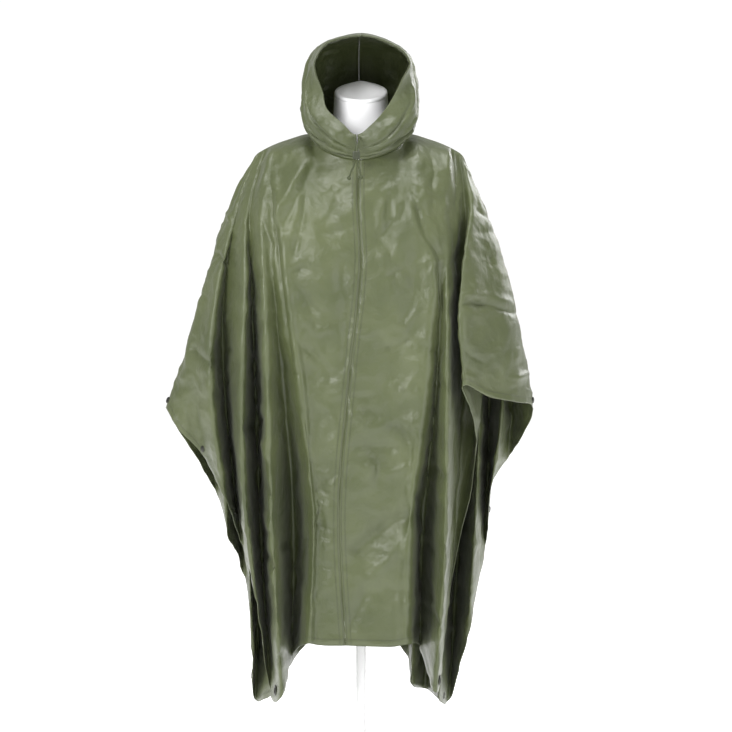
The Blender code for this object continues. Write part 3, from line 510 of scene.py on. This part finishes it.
def attributeNode(tree, name):
    made = node(tree, "ShaderNodeAttribute", attribute_type="GEOMETRY", attribute_name=name)
    return made.outputs["Fac"]


# Rows of stitches: measured from this edge, running along that way, this far in.
stitchRows = (("hem", "across", (0.0125,)), ("edge", "down", (0.0125,)), ("across", "down", (0.0035, 0.0110)))


def coatedNylon(name, settings, stitched=True):
    material = bpy.data.materials.new(name)
    material.use_nodes = True
    tree = material.node_tree
    shader = tree.nodes["Principled BSDF"]
    place = node(tree, "ShaderNodeTexCoord")
    grain = node(tree, "ShaderNodeGroup", node_tree=clothGrain)
    tree.links.new(place.outputs["Object"], grain.inputs["Vector"])
    tree.links.new(place.outputs["UV"], grain.inputs["Flat"])
    grain.inputs["Crumple size"].default_value = settings["crumpleSize"]
    ramp = node(tree, "ShaderNodeValToRGB")
    ramp.color_ramp.elements[0].position = 0.30
    ramp.color_ramp.elements[0].color = (*settings["dark"], 1)
    ramp.color_ramp.elements[1].position = 0.70
    ramp.color_ramp.elements[1].color = (*settings["light"], 1)
    tree.links.new(grain.outputs["Patches"], ramp.inputs["Fac"])
    colour = ramp.outputs["Color"]
    height = grain.outputs["Height"]
    if stitched:
        for distance, along, insets in stitchRows:
            for inset in insets:
                line = node(tree, "ShaderNodeGroup", node_tree=stitchLine)
                tree.links.new(attributeNode(tree, distance), line.inputs["Distance"])
                tree.links.new(attributeNode(tree, along), line.inputs["Along"])
                line.inputs["Inset"].default_value = inset
                mix = node(tree, "ShaderNodeMix", data_type="RGBA")
                tree.links.new(mathNode(tree, "MULTIPLY", line.outputs["Mask"], 0.55), mix.inputs["Factor"])
                tree.links.new(colour, mix.inputs["A"])
                mix.inputs["B"].default_value = (0.030, 0.036, 0.013, 1)
                colour = mix.outputs["Result"]
                height = mathNode(tree, "MULTIPLY_ADD", line.outputs["Mask"], -0.5, height)
    tree.links.new(colour, shader.inputs["Base Color"])
    rough = mathNode(tree, "MULTIPLY_ADD", grain.outputs["Patches"], 0.16, settings["roughness"] - 0.08)
    tree.links.new(rough, shader.inputs["Roughness"])
    bump = node(tree, "ShaderNodeBump")
    bump.inputs["Strength"].default_value = settings["bump"]
    bump.inputs["Distance"].default_value = 0.0030
    tree.links.new(height, bump.inputs["Height"])
    tree.links.new(bump.outputs["Normal"], shader.inputs["Normal"])
    shader.inputs["Specular IOR Level"].default_value = 0.55
    shader.inputs["Sheen Weight"].default_value = 0.08
    shader.inputs["Sheen Roughness"].default_value = 0.5
    return material


def plainFinish(name, colour, roughness, metallic=0.0, grain=0.02, scale=60.0, bumpDistance=0.0004):
    # a moulded or painted surface: even colour, faint mottling, a slight orange peel
    material = bpy.data.materials.new(name)
    material.use_nodes = True
    tree = material.node_tree
    shader = tree.nodes["Principled BSDF"]
    place = node(tree, "ShaderNodeTexCoord")
    noise = node(tree, "ShaderNodeTexNoise")
    noise.inputs["Scale"].default_value = scale
    noise.inputs["Detail"].default_value = 3.0
    tree.links.new(place.outputs["Object"], noise.inputs["Vector"])
    ramp = node(tree, "ShaderNodeValToRGB")
    ramp.color_ramp.elements[0].color = (*(c * (1 - grain) for c in colour), 1)
    ramp.color_ramp.elements[1].color = (*(min(1, c * (1 + grain)) for c in colour), 1)
    tree.links.new(noise.outputs["Fac"], ramp.inputs["Fac"])
    tree.links.new(ramp.outputs["Color"], shader.inputs["Base Color"])
    bump = node(tree, "ShaderNodeBump")
    bump.inputs["Strength"].default_value = 0.25
    bump.inputs["Distance"].default_value = bumpDistance
    tree.links.new(noise.outputs["Fac"], bump.inputs["Height"])
    tree.links.new(bump.outputs["Normal"], shader.inputs["Normal"])
    shader.inputs["Roughness"].default_value = roughness
    shader.inputs["Metallic"].default_value = metallic
    return material


nylon = coatedNylon("coatedNylon", {
    "dark": (0.046, 0.058, 0.018), "light": (0.070, 0.084, 0.030),
    "roughness": 0.40, "crumpleSize": 46.0, "bump": 0.55})
hoodNylon = coatedNylon("hoodNylon", {
    "dark": (0.043, 0.054, 0.017), "light": (0.064, 0.078, 0.027),
    "roughness": 0.42, "crumpleSize": 60.0, "bump": 0.5}, False)
binding = coatedNylon("nylonBinding", {
    "dark": (0.036, 0.045, 0.015), "light": (0.054, 0.065, 0.023),
    "roughness": 0.46, "crumpleSize": 120.0, "bump": 0.6}, False)
cordBraid = plainFinish("braidedCord", (0.040, 0.050, 0.018), 0.75, grain=0.5, scale=1400.0,
    bumpDistance=0.0010)
lockPlastic = plainFinish("cordLockPlastic", (0.028, 0.034, 0.016), 0.42, grain=0.1, scale=300.0)
blackMetal = plainFinish("blackenedMetal", (0.045, 0.046, 0.038), 0.38, metallic=0.85, grain=0.15,
    scale=400.0)
whiteShell = plainFinish("whiteForm", (0.88, 0.88, 0.89), 0.38, grain=0.01)
whitePaint = plainFinish("whiteStand", (0.90, 0.90, 0.90), 0.32, grain=0.01)
print("materials made")


# ---------------------------------------------------------------- the two widths of the sheet
neckGuides = 2  # guides that start on the neck seam, before the shoulder begins
cornerGuide = 6  # the guide that ends at the sheet's corner: hem before it, side edge after it


def makePanel(name, side, front, back, ridge, creases, backCreases, seed):
    # Each half is a Catmull-Rom surface across the fold guides. Every point then moves along
    # its normal by a coarse crumple, a fine crumple, the creases and the turned hem, added.
    steps = clothSettings["stepsPerGuide"]
    mirror = np.array([-1.0, 1.0, 1.0])
    frontColumns = guideColumns(front, ridge, frontSeam, side, -1)
    backColumns = guideColumns(back, ridge, backSeam, side, 1)
    grids = [surfaceAcross(frontColumns, steps, frontColumns[1] * mirror, backColumns[-2]),
             surfaceAcross(backColumns, steps, backColumns[1] * mirror, frontColumns[-2])]
    shoulder = neckGuides * steps
    shared = (grids[0][shoulder:, 0] + grids[1][shoulder:, 0]) / 2
    turned = [side > 0, side < 0]
    attributes = {"across": [], "down": [], "hem": [], "edge": []}
    cornerColumn = cornerGuide * steps
    for k, grid in enumerate(grids):
        grid[shoulder:, 0] = shared
        grid = smoothGrid(grid, clothSettings["smoothing"])
        across, down = lengthAlong(grid, 0), lengthAlong(grid, 1)
        fromEnd = down[:, -1:] - down
        column = np.arange(len(grid))[:, None]
        attributes["across"].append(across)
        attributes["down"].append(down)
        attributes["hem"].append(np.where(column <= cornerColumn, fromEnd, 1.0))
        attributes["edge"].append(np.where(column > cornerColumn, fromEnd, 1.0))
        normal = normalsOf(grid, turned[k])
        coarse = crumple(grid, clothSettings["crumpleSize"], seed + 5.0 * k)
        fine = crumple(grid, clothSettings["fineCrumpleSize"], seed + 40 + k)
        lift = clothSettings["crumpleHeight"] * coarse
        lift += clothSettings["fineCrumpleHeight"] * fine
        lift += creaseField(grid[..., 0], grid[..., 2], creases if k == 0 else backCreases)
        pastHem = (fromEnd - clothSettings["hemWidth"]) / clothSettings["hemEdge"]
        lift += clothSettings["hemLift"] / (1 + np.exp(np.clip(pastHem, -30, 30)))
        quiet = np.clip(down / clothSettings["stillNearNeck"], 0, 1)
        quiet = quiet * np.clip(across / clothSettings["stillNearSeam"], 0.1, 1)
        onShoulder = (column > shoulder) & (down < clothSettings["shoulderBand"])
        lift = np.where(onShoulder, np.maximum(lift, clothSettings["shoulderDip"]), lift)
        grids[k] = grid + normal * (lift * quiet)[..., None]
    first = np.arange(grids[0].shape[0] * grids[0].shape[1]).reshape(grids[0].shape[:2])
    second = np.full(first.shape, -1)
    second[shoulder:, 0] = first[shoulder:, 0]
    second[-1] = first[-1]
    fresh = second < 0
    second[fresh] = first.size + np.arange(fresh.sum())
    panel = meshFromGrids(name, grids, [first, second], turned, attributes, nylon, clothSettings["thickness"])
    return panel, grids, turned


leftSpan, rightSpan = (-0.36, 0.0), (0.0, 0.33)  # where each width's scattered creases start
frontSpan, backSpan = (0.2, 1.15), (0.2, 1.18)  # and their heights
leftPanel, leftGrids, leftTurned = makePanel(
    "panelLeft", -1, frontLeft, backLeft, ridgeLeft,
    frontCreases + scatteredCreases(60, 3, leftSpan, frontSpan),
    scatteredCreases(110, 11, leftSpan, backSpan), 1.0)
rightPanel, rightGrids, rightTurned = makePanel(
    "panelRight", 1, frontRight, backRight, ridgeRight,
    frontCreases + scatteredCreases(60, 4, rightSpan, frontSpan),
    scatteredCreases(110, 12, rightSpan, backSpan), 9.0)
for panel, nodeName in ((leftPanel, "panel_left"), (rightPanel, "panel_right")):
    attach(panel, "root")
    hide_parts(nodeName)
print("panels made")


# ---------------------------------------------------------------- hood
hoodSettings = {
    "stepsPerGuide": 12, "rows": 84, "lift": 0.0010, "thickness": 0.0011, "crumpleHeight": 0.0024,
    "crumpleSize": 0.040, "fineCrumpleHeight": 0.0012, "fineCrumpleSize": 0.019}
casingSettings = {
    "rows": 7, "skippedColumns": 3, "lift": 0.0013, "swell": 0.0016, "thickness": 0.0010}

# Hood guides from the throat to the nape: the angle round the neck seam, then x out, y, z.
hoodLeft = (
    (0, (0.003, -0.122, 1.216), (0.004, -0.124, 1.228), (0.005, -0.120, 1.239)),
    (22, (0.052, -0.128, 1.226), (0.050, -0.126, 1.248), (0.031, -0.116, 1.260)),
    (42, (0.090, -0.094, 1.250), (0.086, -0.098, 1.280), (0.063, -0.104, 1.291)),
    (60, (0.108, -0.066, 1.272), (0.102, -0.078, 1.318), (0.072, -0.098, 1.325)),
    (90, (0.110, -0.018, 1.300), (0.106, -0.040, 1.352), (0.086, -0.098, 1.362)),
    (120, (0.100, 0.044, 1.320), (0.100, 0.010, 1.386), (0.086, -0.100, 1.390)),
    (150, (0.068, 0.094, 1.330), (0.072, 0.050, 1.418), (0.058, -0.100, 1.424)),
    (180, (0.000, 0.112, 1.330), (0.000, 0.070, 1.426), (-0.004, -0.020, 1.447), (-0.006, -0.098, 1.436)),
)
hoodRight = (
    (0, (-0.001, -0.122, 1.216), (-0.002, -0.124, 1.228), (-0.003, -0.120, 1.239)),
    (22, (0.054, -0.128, 1.226), (0.048, -0.126, 1.248), (0.024, -0.118, 1.258)),
    (42, (0.092, -0.094, 1.248), (0.084, -0.100, 1.280), (0.050, -0.108, 1.287)),
    (60, (0.110, -0.066, 1.268), (0.106, -0.078, 1.314), (0.070, -0.100, 1.318)),
    (90, (0.112, -0.018, 1.296), (0.114, -0.040, 1.340), (0.086, -0.098, 1.350)),
    (120, (0.100, 0.044, 1.316), (0.106, 0.010, 1.378), (0.101, -0.096, 1.384)),
    (150, (0.068, 0.094, 1.328), (0.080, 0.050, 1.414), (0.072, -0.096, 1.416)),
    (180, (0.000, 0.112, 1.330), (0.000, 0.070, 1.426), (0.004, -0.020, 1.447), (0.006, -0.098, 1.436)),
)


def hoodColumns(guides, side):
    shares = np.arange(hoodSettings["rows"] + 1) / hoodSettings["rows"]
    columns = []
    for angle, *points in guides:
        x, y, z = neckPoint(angle, side, hoodSettings["lift"])
        route = [(side * px, py, pz) for px, py, pz in points]
        columns.append(curveThrough([(x * 1.004, y, z), *route], shares))
    columns = np.array(columns)
    columns[0, :, 0] += side * clothSettings["seamGap"] / 2
    columns[-1, :, 0] += side * clothSettings["seamGap"] / 2
    return columns


# Rolls of cloth bunched round the neck, and folds up the hood. Each row: share of the way
# round from the throat to the nape, share of the way up from the neck seam, turn of the fold
# (0 runs round the neck), half length, half width, height.
hoodFolds = (
    (0.30, 0.12, 0.10, 0.30, 0.035, 0.0070),
    (0.34, 0.22, 0.25, 0.26, 0.030, -0.0060),
    (0.42, 0.31, 0.35, 0.24, 0.032, 0.0065),
    (0.48, 0.42, 0.45, 0.22, 0.034, -0.0050),
    (0.62, 0.16, -0.10, 0.22, 0.030, 0.0045),
    (0.70, 0.26, -0.20, 0.20, 0.032, -0.0045),
    (0.62, 0.60, 0.80, 0.22, 0.036, 0.0055),
    (0.74, 0.66, 1.00, 0.24, 0.034, -0.0050),
    (0.84, 0.80, 1.20, 0.20, 0.030, 0.0050),
    (0.52, 0.76, 0.90, 0.18, 0.030, -0.0045),
    (0.92, 0.50, 1.40, 0.24, 0.036, 0.0045),
    (0.20, 0.55, 0.60, 0.20, 0.034, 0.0045),
)


def foldField(around, up, folds):
    # each fold is a bell across and a flat-topped bell along, added up
    field = np.zeros(np.broadcast(around, up).shape)
    for centre, level, turn, halfLength, halfWidth, height in folds:
        along = (around - centre) * math.cos(turn) + (up - level) * math.sin(turn)
        away = (up - level) * math.cos(turn) - (around - centre) * math.sin(turn)
        field += height * np.exp(-((along / halfLength) ** 4)) * np.exp(-((away / halfWidth) ** 2))
    return field


def makeHood(name, side, guides, seed):
    # A Catmull-Rom surface across the hood guides, moved along its normals by the folds and
    # by two crumples, all held still near the neck seam, the opening and the centre seam.
    columns = hoodColumns(guides, side)
    mirror = np.array([-1.0, 1.0, 1.0])
    grid = surfaceAcross(columns, hoodSettings["stepsPerGuide"], columns[1] * mirror, columns[-2] * mirror)
    turned = side > 0
    normal = normalsOf(grid, turned)
    around = np.linspace(0, 1, grid.shape[0])[:, None]
    up = np.linspace(0, 1, grid.shape[1])[None, :]
    quiet = np.clip(up * 14, 0, 1) * np.clip((1 - up) * 9, 0, 1)
    quiet = quiet * np.clip((1 - around) * 14, 0.15, 1) * np.clip(around * 14, 0, 1)
    lift = foldField(around, up, hoodFolds) * quiet
    coarse = hoodSettings["crumpleHeight"] * crumple(grid, hoodSettings["crumpleSize"], seed)
    fine = hoodSettings["fineCrumpleHeight"] * crumple(grid, hoodSettings["fineCrumpleSize"], seed + 6)
    lift += (coarse + fine) * np.clip(quiet, 0.1, 1)
    shaped = grid + normal * lift[..., None]
    across, down = lengthAlong(shaped, 0), lengthAlong(shaped, 1)
    index = np.arange(grid.shape[0] * grid.shape[1]).reshape(grid.shape[:2])
    attributes = {"across": [across], "down": [down]}
    piece = meshFromGrids(
        name, [shaped], [index], [turned], attributes, hoodNylon, hoodSettings["thickness"])
    return piece, shaped, turned


def makeCasing(name, side, grid, turned):
    # The drawcord casing: the hood's last rows before the opening, moved out along their
    # normals by half a sine wave across, on which two sines along it make the puckers.
    normal = normalsOf(grid, turned)
    start = hoodSettings["rows"] - casingSettings["rows"]
    skipped = casingSettings["skippedColumns"]
    strip, away = grid[skipped:, start:], normal[skipped:, start:]
    across = lengthAlong(strip, 0)[:, -1:]
    arch = np.sin(np.linspace(0, math.pi, strip.shape[1]))[None, :]
    pucker = 0.0008 * np.sin(across * 420) + 0.0006 * np.sin(across * 270 + 1.3)
    lift = casingSettings["lift"] + (casingSettings["swell"] + pucker) * arch
    band = strip + away * lift[..., None]
    index = np.arange(band.shape[0] * band.shape[1]).reshape(band.shape[:2])
    attributes = {"across": [lengthAlong(band, 0)], "down": [lengthAlong(band, 1)]}
    return meshFromGrids(name, [band], [index], [turned], attributes, binding, casingSettings["thickness"])


for label, sign, guides, seed in (("Left", -1, hoodLeft, 3.0), ("Right", 1, hoodRight, 14.0)):
    hood, hoodGrid, hoodTurned = makeHood(f"hood{label}", sign, guides, seed)
    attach(hood, "root")
    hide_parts(f"hood_{label.lower()}")
    casing = makeCasing(f"hoodCasing{label}", sign, hoodGrid, hoodTurned)
    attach(casing, "root")
    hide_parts(f"hood_casing_{label.lower()}")
print("hood made")


# ---------------------------------------------------------------- small hard pieces
def turnedMesh(name, profile, steps, material):
    # a profile of (radius, height) pairs carried round the Z axis
    profile = np.array(profile, float)
    turns = np.arange(steps) / steps * 2 * math.pi
    radius, height = profile[None, :, 0], np.broadcast_to(profile[None, :, 1], (steps, len(profile)))
    grid = np.stack([radius * np.cos(turns)[:, None], radius * np.sin(turns)[:, None], height], axis=-1)
    index = np.arange(steps * len(profile)).reshape(steps, len(profile))
    nextIndex = np.roll(index, -1, axis=0)
    quads = np.stack([index[:, :-1], nextIndex[:, :-1], nextIndex[:, 1:], index[:, 1:]], axis=-1)
    quads = quads.reshape(-1, 4)
    mesh = bpy.data.meshes.new(name)
    mesh.from_pydata(grid.reshape(-1, 3), [], quads)
    mesh.materials.append(material)
    piece = bpy.data.objects.new(name, mesh)
    bpy.context.scene.collection.objects.link(piece)
    return piece


def tidyMesh(piece, angle=40):
    # merges coincident points, drops collapsed faces and turns the faces outwards
    bpy.context.view_layer.objects.active = piece
    shape = bmesh.new()
    shape.from_mesh(piece.data)
    bmesh.ops.remove_doubles(shape, verts=shape.verts, dist=1e-6)
    bmesh.ops.dissolve_degenerate(shape, edges=shape.edges, dist=1e-7)
    bmesh.ops.recalc_face_normals(shape, faces=shape.faces)
    shape.to_mesh(piece.data)
    shape.free()
    piece.data.shade_smooth()
    piece.data.set_sharp_from_angle(angle=math.radians(angle))


def placeMesh(piece, origin, normal):
    # stands the piece's Z axis along the normal at the origin
    normal = normal / np.linalg.norm(normal)
    side = np.cross(normal, (0.0, 0.0, 1.0) if abs(normal[2]) < 0.9 else (1.0, 0.0, 0.0))
    side = side / np.linalg.norm(side)
    other = np.cross(normal, side)
    points = np.empty(len(piece.data.vertices) * 3)
    piece.data.vertices.foreach_get("co", points)
    points = points.reshape(-1, 3) @ np.array([side, other, normal]) + origin
    piece.data.vertices.foreach_set("co", points.ravel())
    piece.data.update()


# Profiles of the snap and of the eyelet: radius, height over the cloth.
snapProfile = ((0, 0.0022), (0.0028, 0.0022), (0.0034, 0.0019), (0.0044, 0.0019),
               (0.0056, 0.0016), (0.0065, 0.0008), (0.0065, 0), (0, 0))
eyeletProfile = ((0.0105, 0), (0.0106, 0.0006), (0.0098, 0.0014), (0.0082, 0.0018),
                 (0.0066, 0.0014), (0.0058, 0.0006), (0.0058, -0.0020), (0.0105, 0))
seatLift = 0.0009  # a fastener's seat over the middle of the cloth's wall
for nodeName in [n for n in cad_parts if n.startswith(("snap", "eyelet"))]:
    low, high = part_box(nodeName)
    middle = (np.array(low) + np.array(high)) / 2
    grids, turned = (leftGrids, leftTurned) if "left" in nodeName else (rightGrids, rightTurned)
    half = 0 if "front" in nodeName else 1
    away = np.linalg.norm(grids[half] - middle, axis=2)
    at = np.unravel_index(away.argmin(), away.shape)
    normal = normalsOf(smoothGrid(grids[half], 6), turned[half])[at]
    isSnap = nodeName.startswith("snap")
    words = nodeName.split("_")
    label = words[0] + "".join(w.capitalize() for w in words[1:])
    piece = turnedMesh(label, snapProfile if isSnap else eyeletProfile, 32, blackMetal)
    placeMesh(piece, grids[half][at] + normal * seatLift, normal)
    tidyMesh(piece)
    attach(piece, "root")
    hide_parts(nodeName)

cordSettings = {"diameter": 0.0032, "knot": 0.0042}
knotSteps = 15
knotGap = 0.0003
# The drawcord's two ends.
cordLeft = (
    (-0.0095, -0.1260, 1.2340),
    (-0.0090, -0.1370, 1.2270),
    (-0.0080, -0.1400, 1.2180),
    (-0.0075, -0.1410, 1.2080),
    (-0.0075, -0.1410, 1.1960),
    (-0.0075, -0.1410, 1.1860),
    (-0.0100, -0.1430, 1.1760),
    (-0.0150, -0.1450, 1.1660),
    (-0.0180, -0.1470, 1.1560),
)
cordRight = (
    (0.0015, -0.1260, 1.2340),
    (0.0005, -0.1370, 1.2270),
    (-0.0015, -0.1400, 1.2180),
    (-0.0025, -0.1410, 1.2080),
    (-0.0025, -0.1410, 1.1960),
    (-0.0025, -0.1410, 1.1860),
    (-0.0010, -0.1430, 1.1760),
    (0.0020, -0.1450, 1.1670),
    (0.0035, -0.1470, 1.1580),
)
for label, route in (("Left", cordLeft), ("Right", cordRight)):
    points = curveThrough(route, np.linspace(0, 1, 40))
    curve = bpy.data.curves.new(f"cord{label}", "CURVE")
    curve.dimensions = "3D"
    curve.bevel_depth = cordSettings["diameter"] / 2
    curve.bevel_resolution = 3
    curve.use_fill_caps = True
    spline = curve.splines.new("POLY")
    spline.points.add(len(points) - 1)
    spline.points.foreach_set("co", np.column_stack([points, np.ones(len(points))]).ravel())
    curve.materials.append(cordBraid)
    cord = bpy.data.objects.new(f"cord{label}", curve)
    bpy.context.scene.collection.objects.link(cord)
    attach(cord, "root")
    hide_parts(f"cord_{label.lower()}")
    ahead = points[-1] - points[-2]
    ahead = ahead / np.linalg.norm(ahead)
    angles = np.linspace(0, math.pi, knotSteps)
    # the knot is a ball whose radius swells and shrinks by up to 12 percent along its axis
    knotRadius = cordSettings["knot"] * np.sin(angles) * (1 + 0.12 * np.sin(angles * 5))
    knotProfile = np.stack([knotRadius, cordSettings["knot"] * np.cos(angles)], axis=1)
    knot = turnedMesh(f"cordKnot{label}", knotProfile, 24, cordBraid)
    placeMesh(knot, points[-1] + ahead * (cordSettings["knot"] + knotGap), ahead)
    tidyMesh(knot, 80)
    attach(knot, "root")
    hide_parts(f"cord_knot_{label.lower()}")

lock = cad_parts["cord_lock"]
for slot in lock.material_slots:
    slot.material = lockPlastic
print("fasteners and cords made")


# ---------------------------------------------------------------- dress form and stand
formSettings = {"x": 0.004, "sides": 96, "neckX": 0.0535, "neckY": 0.052, "topFront": 1.304, "topBack": 1.346,
                "squareness": 2.25, "stepsPerRing": 6}
# The dress form's rings: z, half width, front, back.
formRings = (
    (0.575, 0.140, -0.092, 0.092),
    (0.64, 0.160, -0.104, 0.100),
    (0.80, 0.150, -0.096, 0.088),
    (0.92, 0.154, -0.102, 0.088),
    (1.04, 0.170, -0.112, 0.094),
    (1.11, 0.180, -0.104, 0.092),
    (1.155, 0.190, -0.082, 0.078),
    (1.185, 0.1910, -0.056, 0.056),
    (1.200, 0.1805, -0.045, 0.045),
    (1.214, 0.160, -0.043, 0.043),
    (1.226, 0.1185, -0.045, 0.045),
    (1.238, 0.0850, -0.048, 0.048),
    (1.256, 0.068, -0.050, 0.050),
    (1.280, 0.056, -0.051, 0.052),
)
# The neck cap, from its seat up: height over the neck, share of the neck's width.
capRows = ((0.0003, 0.985), (0.0012, 1.0), (0.0055, 1.0), (0.0078, 0.985), (0.0092, 0.95), (0.0100, 0.88),
    (0.0103, 0.5))


def ovalRing(z, halfWidth, front, back, squareness, tilt=0.0):
    # a superellipse: each half of y has its own reach, and the tilt lifts z towards the back
    turns = np.arange(formSettings["sides"]) / formSettings["sides"] * 2 * math.pi
    cosine, sine = np.cos(turns), np.sin(turns)
    x = formSettings["x"] + halfWidth * np.sign(cosine) * np.abs(cosine) ** (2 / squareness)
    y = np.where(sine < 0, -front, back) * np.sign(sine) * np.abs(sine) ** (2 / squareness)
    return np.stack([x, y, z + tilt * (y - front) / (back - front)], axis=1)


def loftMesh(name, rings, material, nodeName):
    # rings joined each to the next, with a flat face at both ends
    rings = np.array(rings)
    count, sides = rings.shape[:2]
    index = np.arange(count * sides).reshape(count, sides)
    nextIndex = np.roll(index, -1, axis=1)
    quads = np.stack([index[:-1], nextIndex[:-1], nextIndex[1:], index[1:]], axis=-1).reshape(-1, 4)
    mesh = bpy.data.meshes.new(name)
    mesh.from_pydata(rings.reshape(-1, 3), [], [*quads.tolist(), index[0][::-1].tolist(), index[-1].tolist()])
    mesh.materials.append(material)
    piece = bpy.data.objects.new(name, mesh)
    bpy.context.scene.collection.objects.link(piece)
    tidyMesh(piece, 60)
    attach(piece, "root")
    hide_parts(nodeName)
    return piece


# The torso is a stack of superellipses whose sizes run on a Hermite curve through the rings.
table = np.array(formRings)
levels = np.linspace(0, len(table) - 1, formSettings["stepsPerRing"] * (len(table) - 1) + 1)
slopes = np.gradient(table, axis=0)
base = np.minimum(levels.astype(int), len(table) - 2)
fine = hermite(table, slopes, base, (levels - base)[:, None])
slant = formSettings["topBack"] - formSettings["topFront"]
torsoRings = [ovalRing(*row, formSettings["squareness"]) for row in fine]
torsoRings.append(ovalRing(formSettings["topFront"], formSettings["neckX"], -formSettings["neckY"],
                           formSettings["neckY"], 2.0, slant))
loftMesh("formTorso", torsoRings, whiteShell, "form_torso")
capRings = []
for lift, share in capRows:
    neckX, neckY = formSettings["neckX"] * share, formSettings["neckY"] * share
    capRings.append(ovalRing(formSettings["topFront"] + lift, neckX, -neckY, neckY, 2.0, slant))
loftMesh("formNeckCap", capRings, whiteShell, "form_neck_cap")

standSettings = {"baseRadius": 0.165, "baseHeight": 0.012, "poleRadius": 0.010, "formBottom": 0.575}
baseRadius, baseHeight = standSettings["baseRadius"], standSettings["baseHeight"]
poleRadius, poleTop = standSettings["poleRadius"], standSettings["formBottom"] - 0.0003
standParts = (
    ("standBase", "stand_base", (
        (0, baseHeight), (0.03, baseHeight), (baseRadius - 0.012, baseHeight * 0.86),
        (baseRadius - 0.004, baseHeight * 0.7), (baseRadius, baseHeight * 0.35),
        (baseRadius - 0.001, 0), (0, 0))),
    ("standPole", "stand_pole", (
        (0, poleTop), (poleRadius, poleTop), (poleRadius, baseHeight + 0.026),
        (0.0125, baseHeight + 0.018), (0.018, baseHeight + 0.008),
        (0.022, baseHeight + 0.0003), (0, baseHeight + 0.0003))),
)
for name, nodeName, profile in standParts:
    piece = turnedMesh(name, profile, 96, whitePaint)
    placeMesh(piece, np.array([formSettings["x"], 0.0, 0.0]), np.array([0.0, 0.0, 1.0]))
    tidyMesh(piece, 35)
    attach(piece, "root")
    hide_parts(nodeName)
print("form and stand made")

# ---------------------------------------------------------------- floor, light, camera
cameraSettings = {"distance": 7.0, "centreX": 0.014, "centreZ": 0.784, "viewHeight": 1.464}
floorSettings = {"side": 30, "front": 12, "back": 40}
floorMesh = bpy.data.meshes.new("floor")
side, near, far = floorSettings["side"], -floorSettings["front"], floorSettings["back"]
floorCorners = [(-side, near, 0), (side, near, 0), (side, far, 0), (-side, far, 0)]
floorMesh.from_pydata(floorCorners, [], [(0, 1, 2, 3)])
floor = bpy.data.objects.new("floor", floorMesh)
bpy.context.scene.collection.objects.link(floor)
floorFinish = bpy.data.materials.new("paleFloor")
floorFinish.use_nodes = True
floorShader = floorFinish.node_tree.nodes["Principled BSDF"]
floorShader.inputs["Base Color"].default_value = (0.92, 0.92, 0.93, 1)
floorShader.inputs["Roughness"].default_value = 0.9
floorShader.inputs["Specular IOR Level"].default_value = 0.0
floorShader.inputs["Emission Color"].default_value = (1, 1, 1, 1)
floorShader.inputs["Emission Strength"].default_value = 0.9
floorMesh.materials.append(floorFinish)

world = bpy.data.worlds.new("studio")
bpy.context.scene.world = world
world.use_nodes = True
tree = world.node_tree
sky = tree.nodes["Background"]
sky.inputs["Color"].default_value = (1.0, 1.0, 1.0, 1)
sky.inputs["Strength"].default_value = 0.45
seen = node(tree, "ShaderNodeBackground")
seen.inputs["Color"].default_value = (1.0, 1.0, 1.0, 1)
seen.inputs["Strength"].default_value = 1.05
path = node(tree, "ShaderNodeLightPath")
mixed = node(tree, "ShaderNodeMixShader")
tree.links.new(path.outputs["Is Camera Ray"], mixed.inputs["Fac"])
tree.links.new(sky.outputs[0], mixed.inputs[1])
tree.links.new(seen.outputs[0], mixed.inputs[2])
tree.links.new(mixed.outputs[0], tree.nodes["World Output"].inputs["Surface"])

lights = (  # name, place, aimed at, width, height, watts
    ("keyLight", (-2.4, -3.0, 2.9), (0.0, 0.0, 0.9), 1.5, 1.5, 150),
    ("fillLight", (2.8, -3.2, 1.6), (0.0, 0.0, 0.8), 2.0, 2.0, 55),
    ("topLight", (0.3, -0.6, 3.6), (0.0, 0.0, 1.0), 1.6, 1.2, 60),
    ("rimLight", (2.2, 2.6, 2.4), (0.0, 0.0, 1.0), 1.4, 1.4, 50),
)
for name, place, aim, width, height, watts in lights:
    lamp = bpy.data.lights.new(name, "AREA")
    lamp.shape = "RECTANGLE"
    lamp.size = width
    lamp.size_y = height
    lamp.energy = watts
    lampObject = bpy.data.objects.new(name, lamp)
    lampObject.location = place
    direction = np.array(aim) - np.array(place)
    lampObject.rotation_euler = (math.atan2(math.hypot(direction[0], direction[1]), -direction[2]), 0,
                                 math.atan2(-direction[0], direction[1]))
    bpy.context.scene.collection.objects.link(lampObject)

camera = bpy.data.cameras.new("camera")
camera.sensor_width = 36
camera.lens = 36 * cameraSettings["distance"] / cameraSettings["viewHeight"]
camera.clip_end = 200
cameraObject = bpy.data.objects.new("camera", camera)
cameraObject.location = (cameraSettings["centreX"], -cameraSettings["distance"], cameraSettings["centreZ"])
cameraObject.rotation_euler = (math.pi / 2, 0, 0)
bpy.context.scene.collection.objects.link(cameraObject)
bpy.context.scene.camera = cameraObject
bpy.context.scene.view_settings.view_transform = "Standard"
print("stage made")
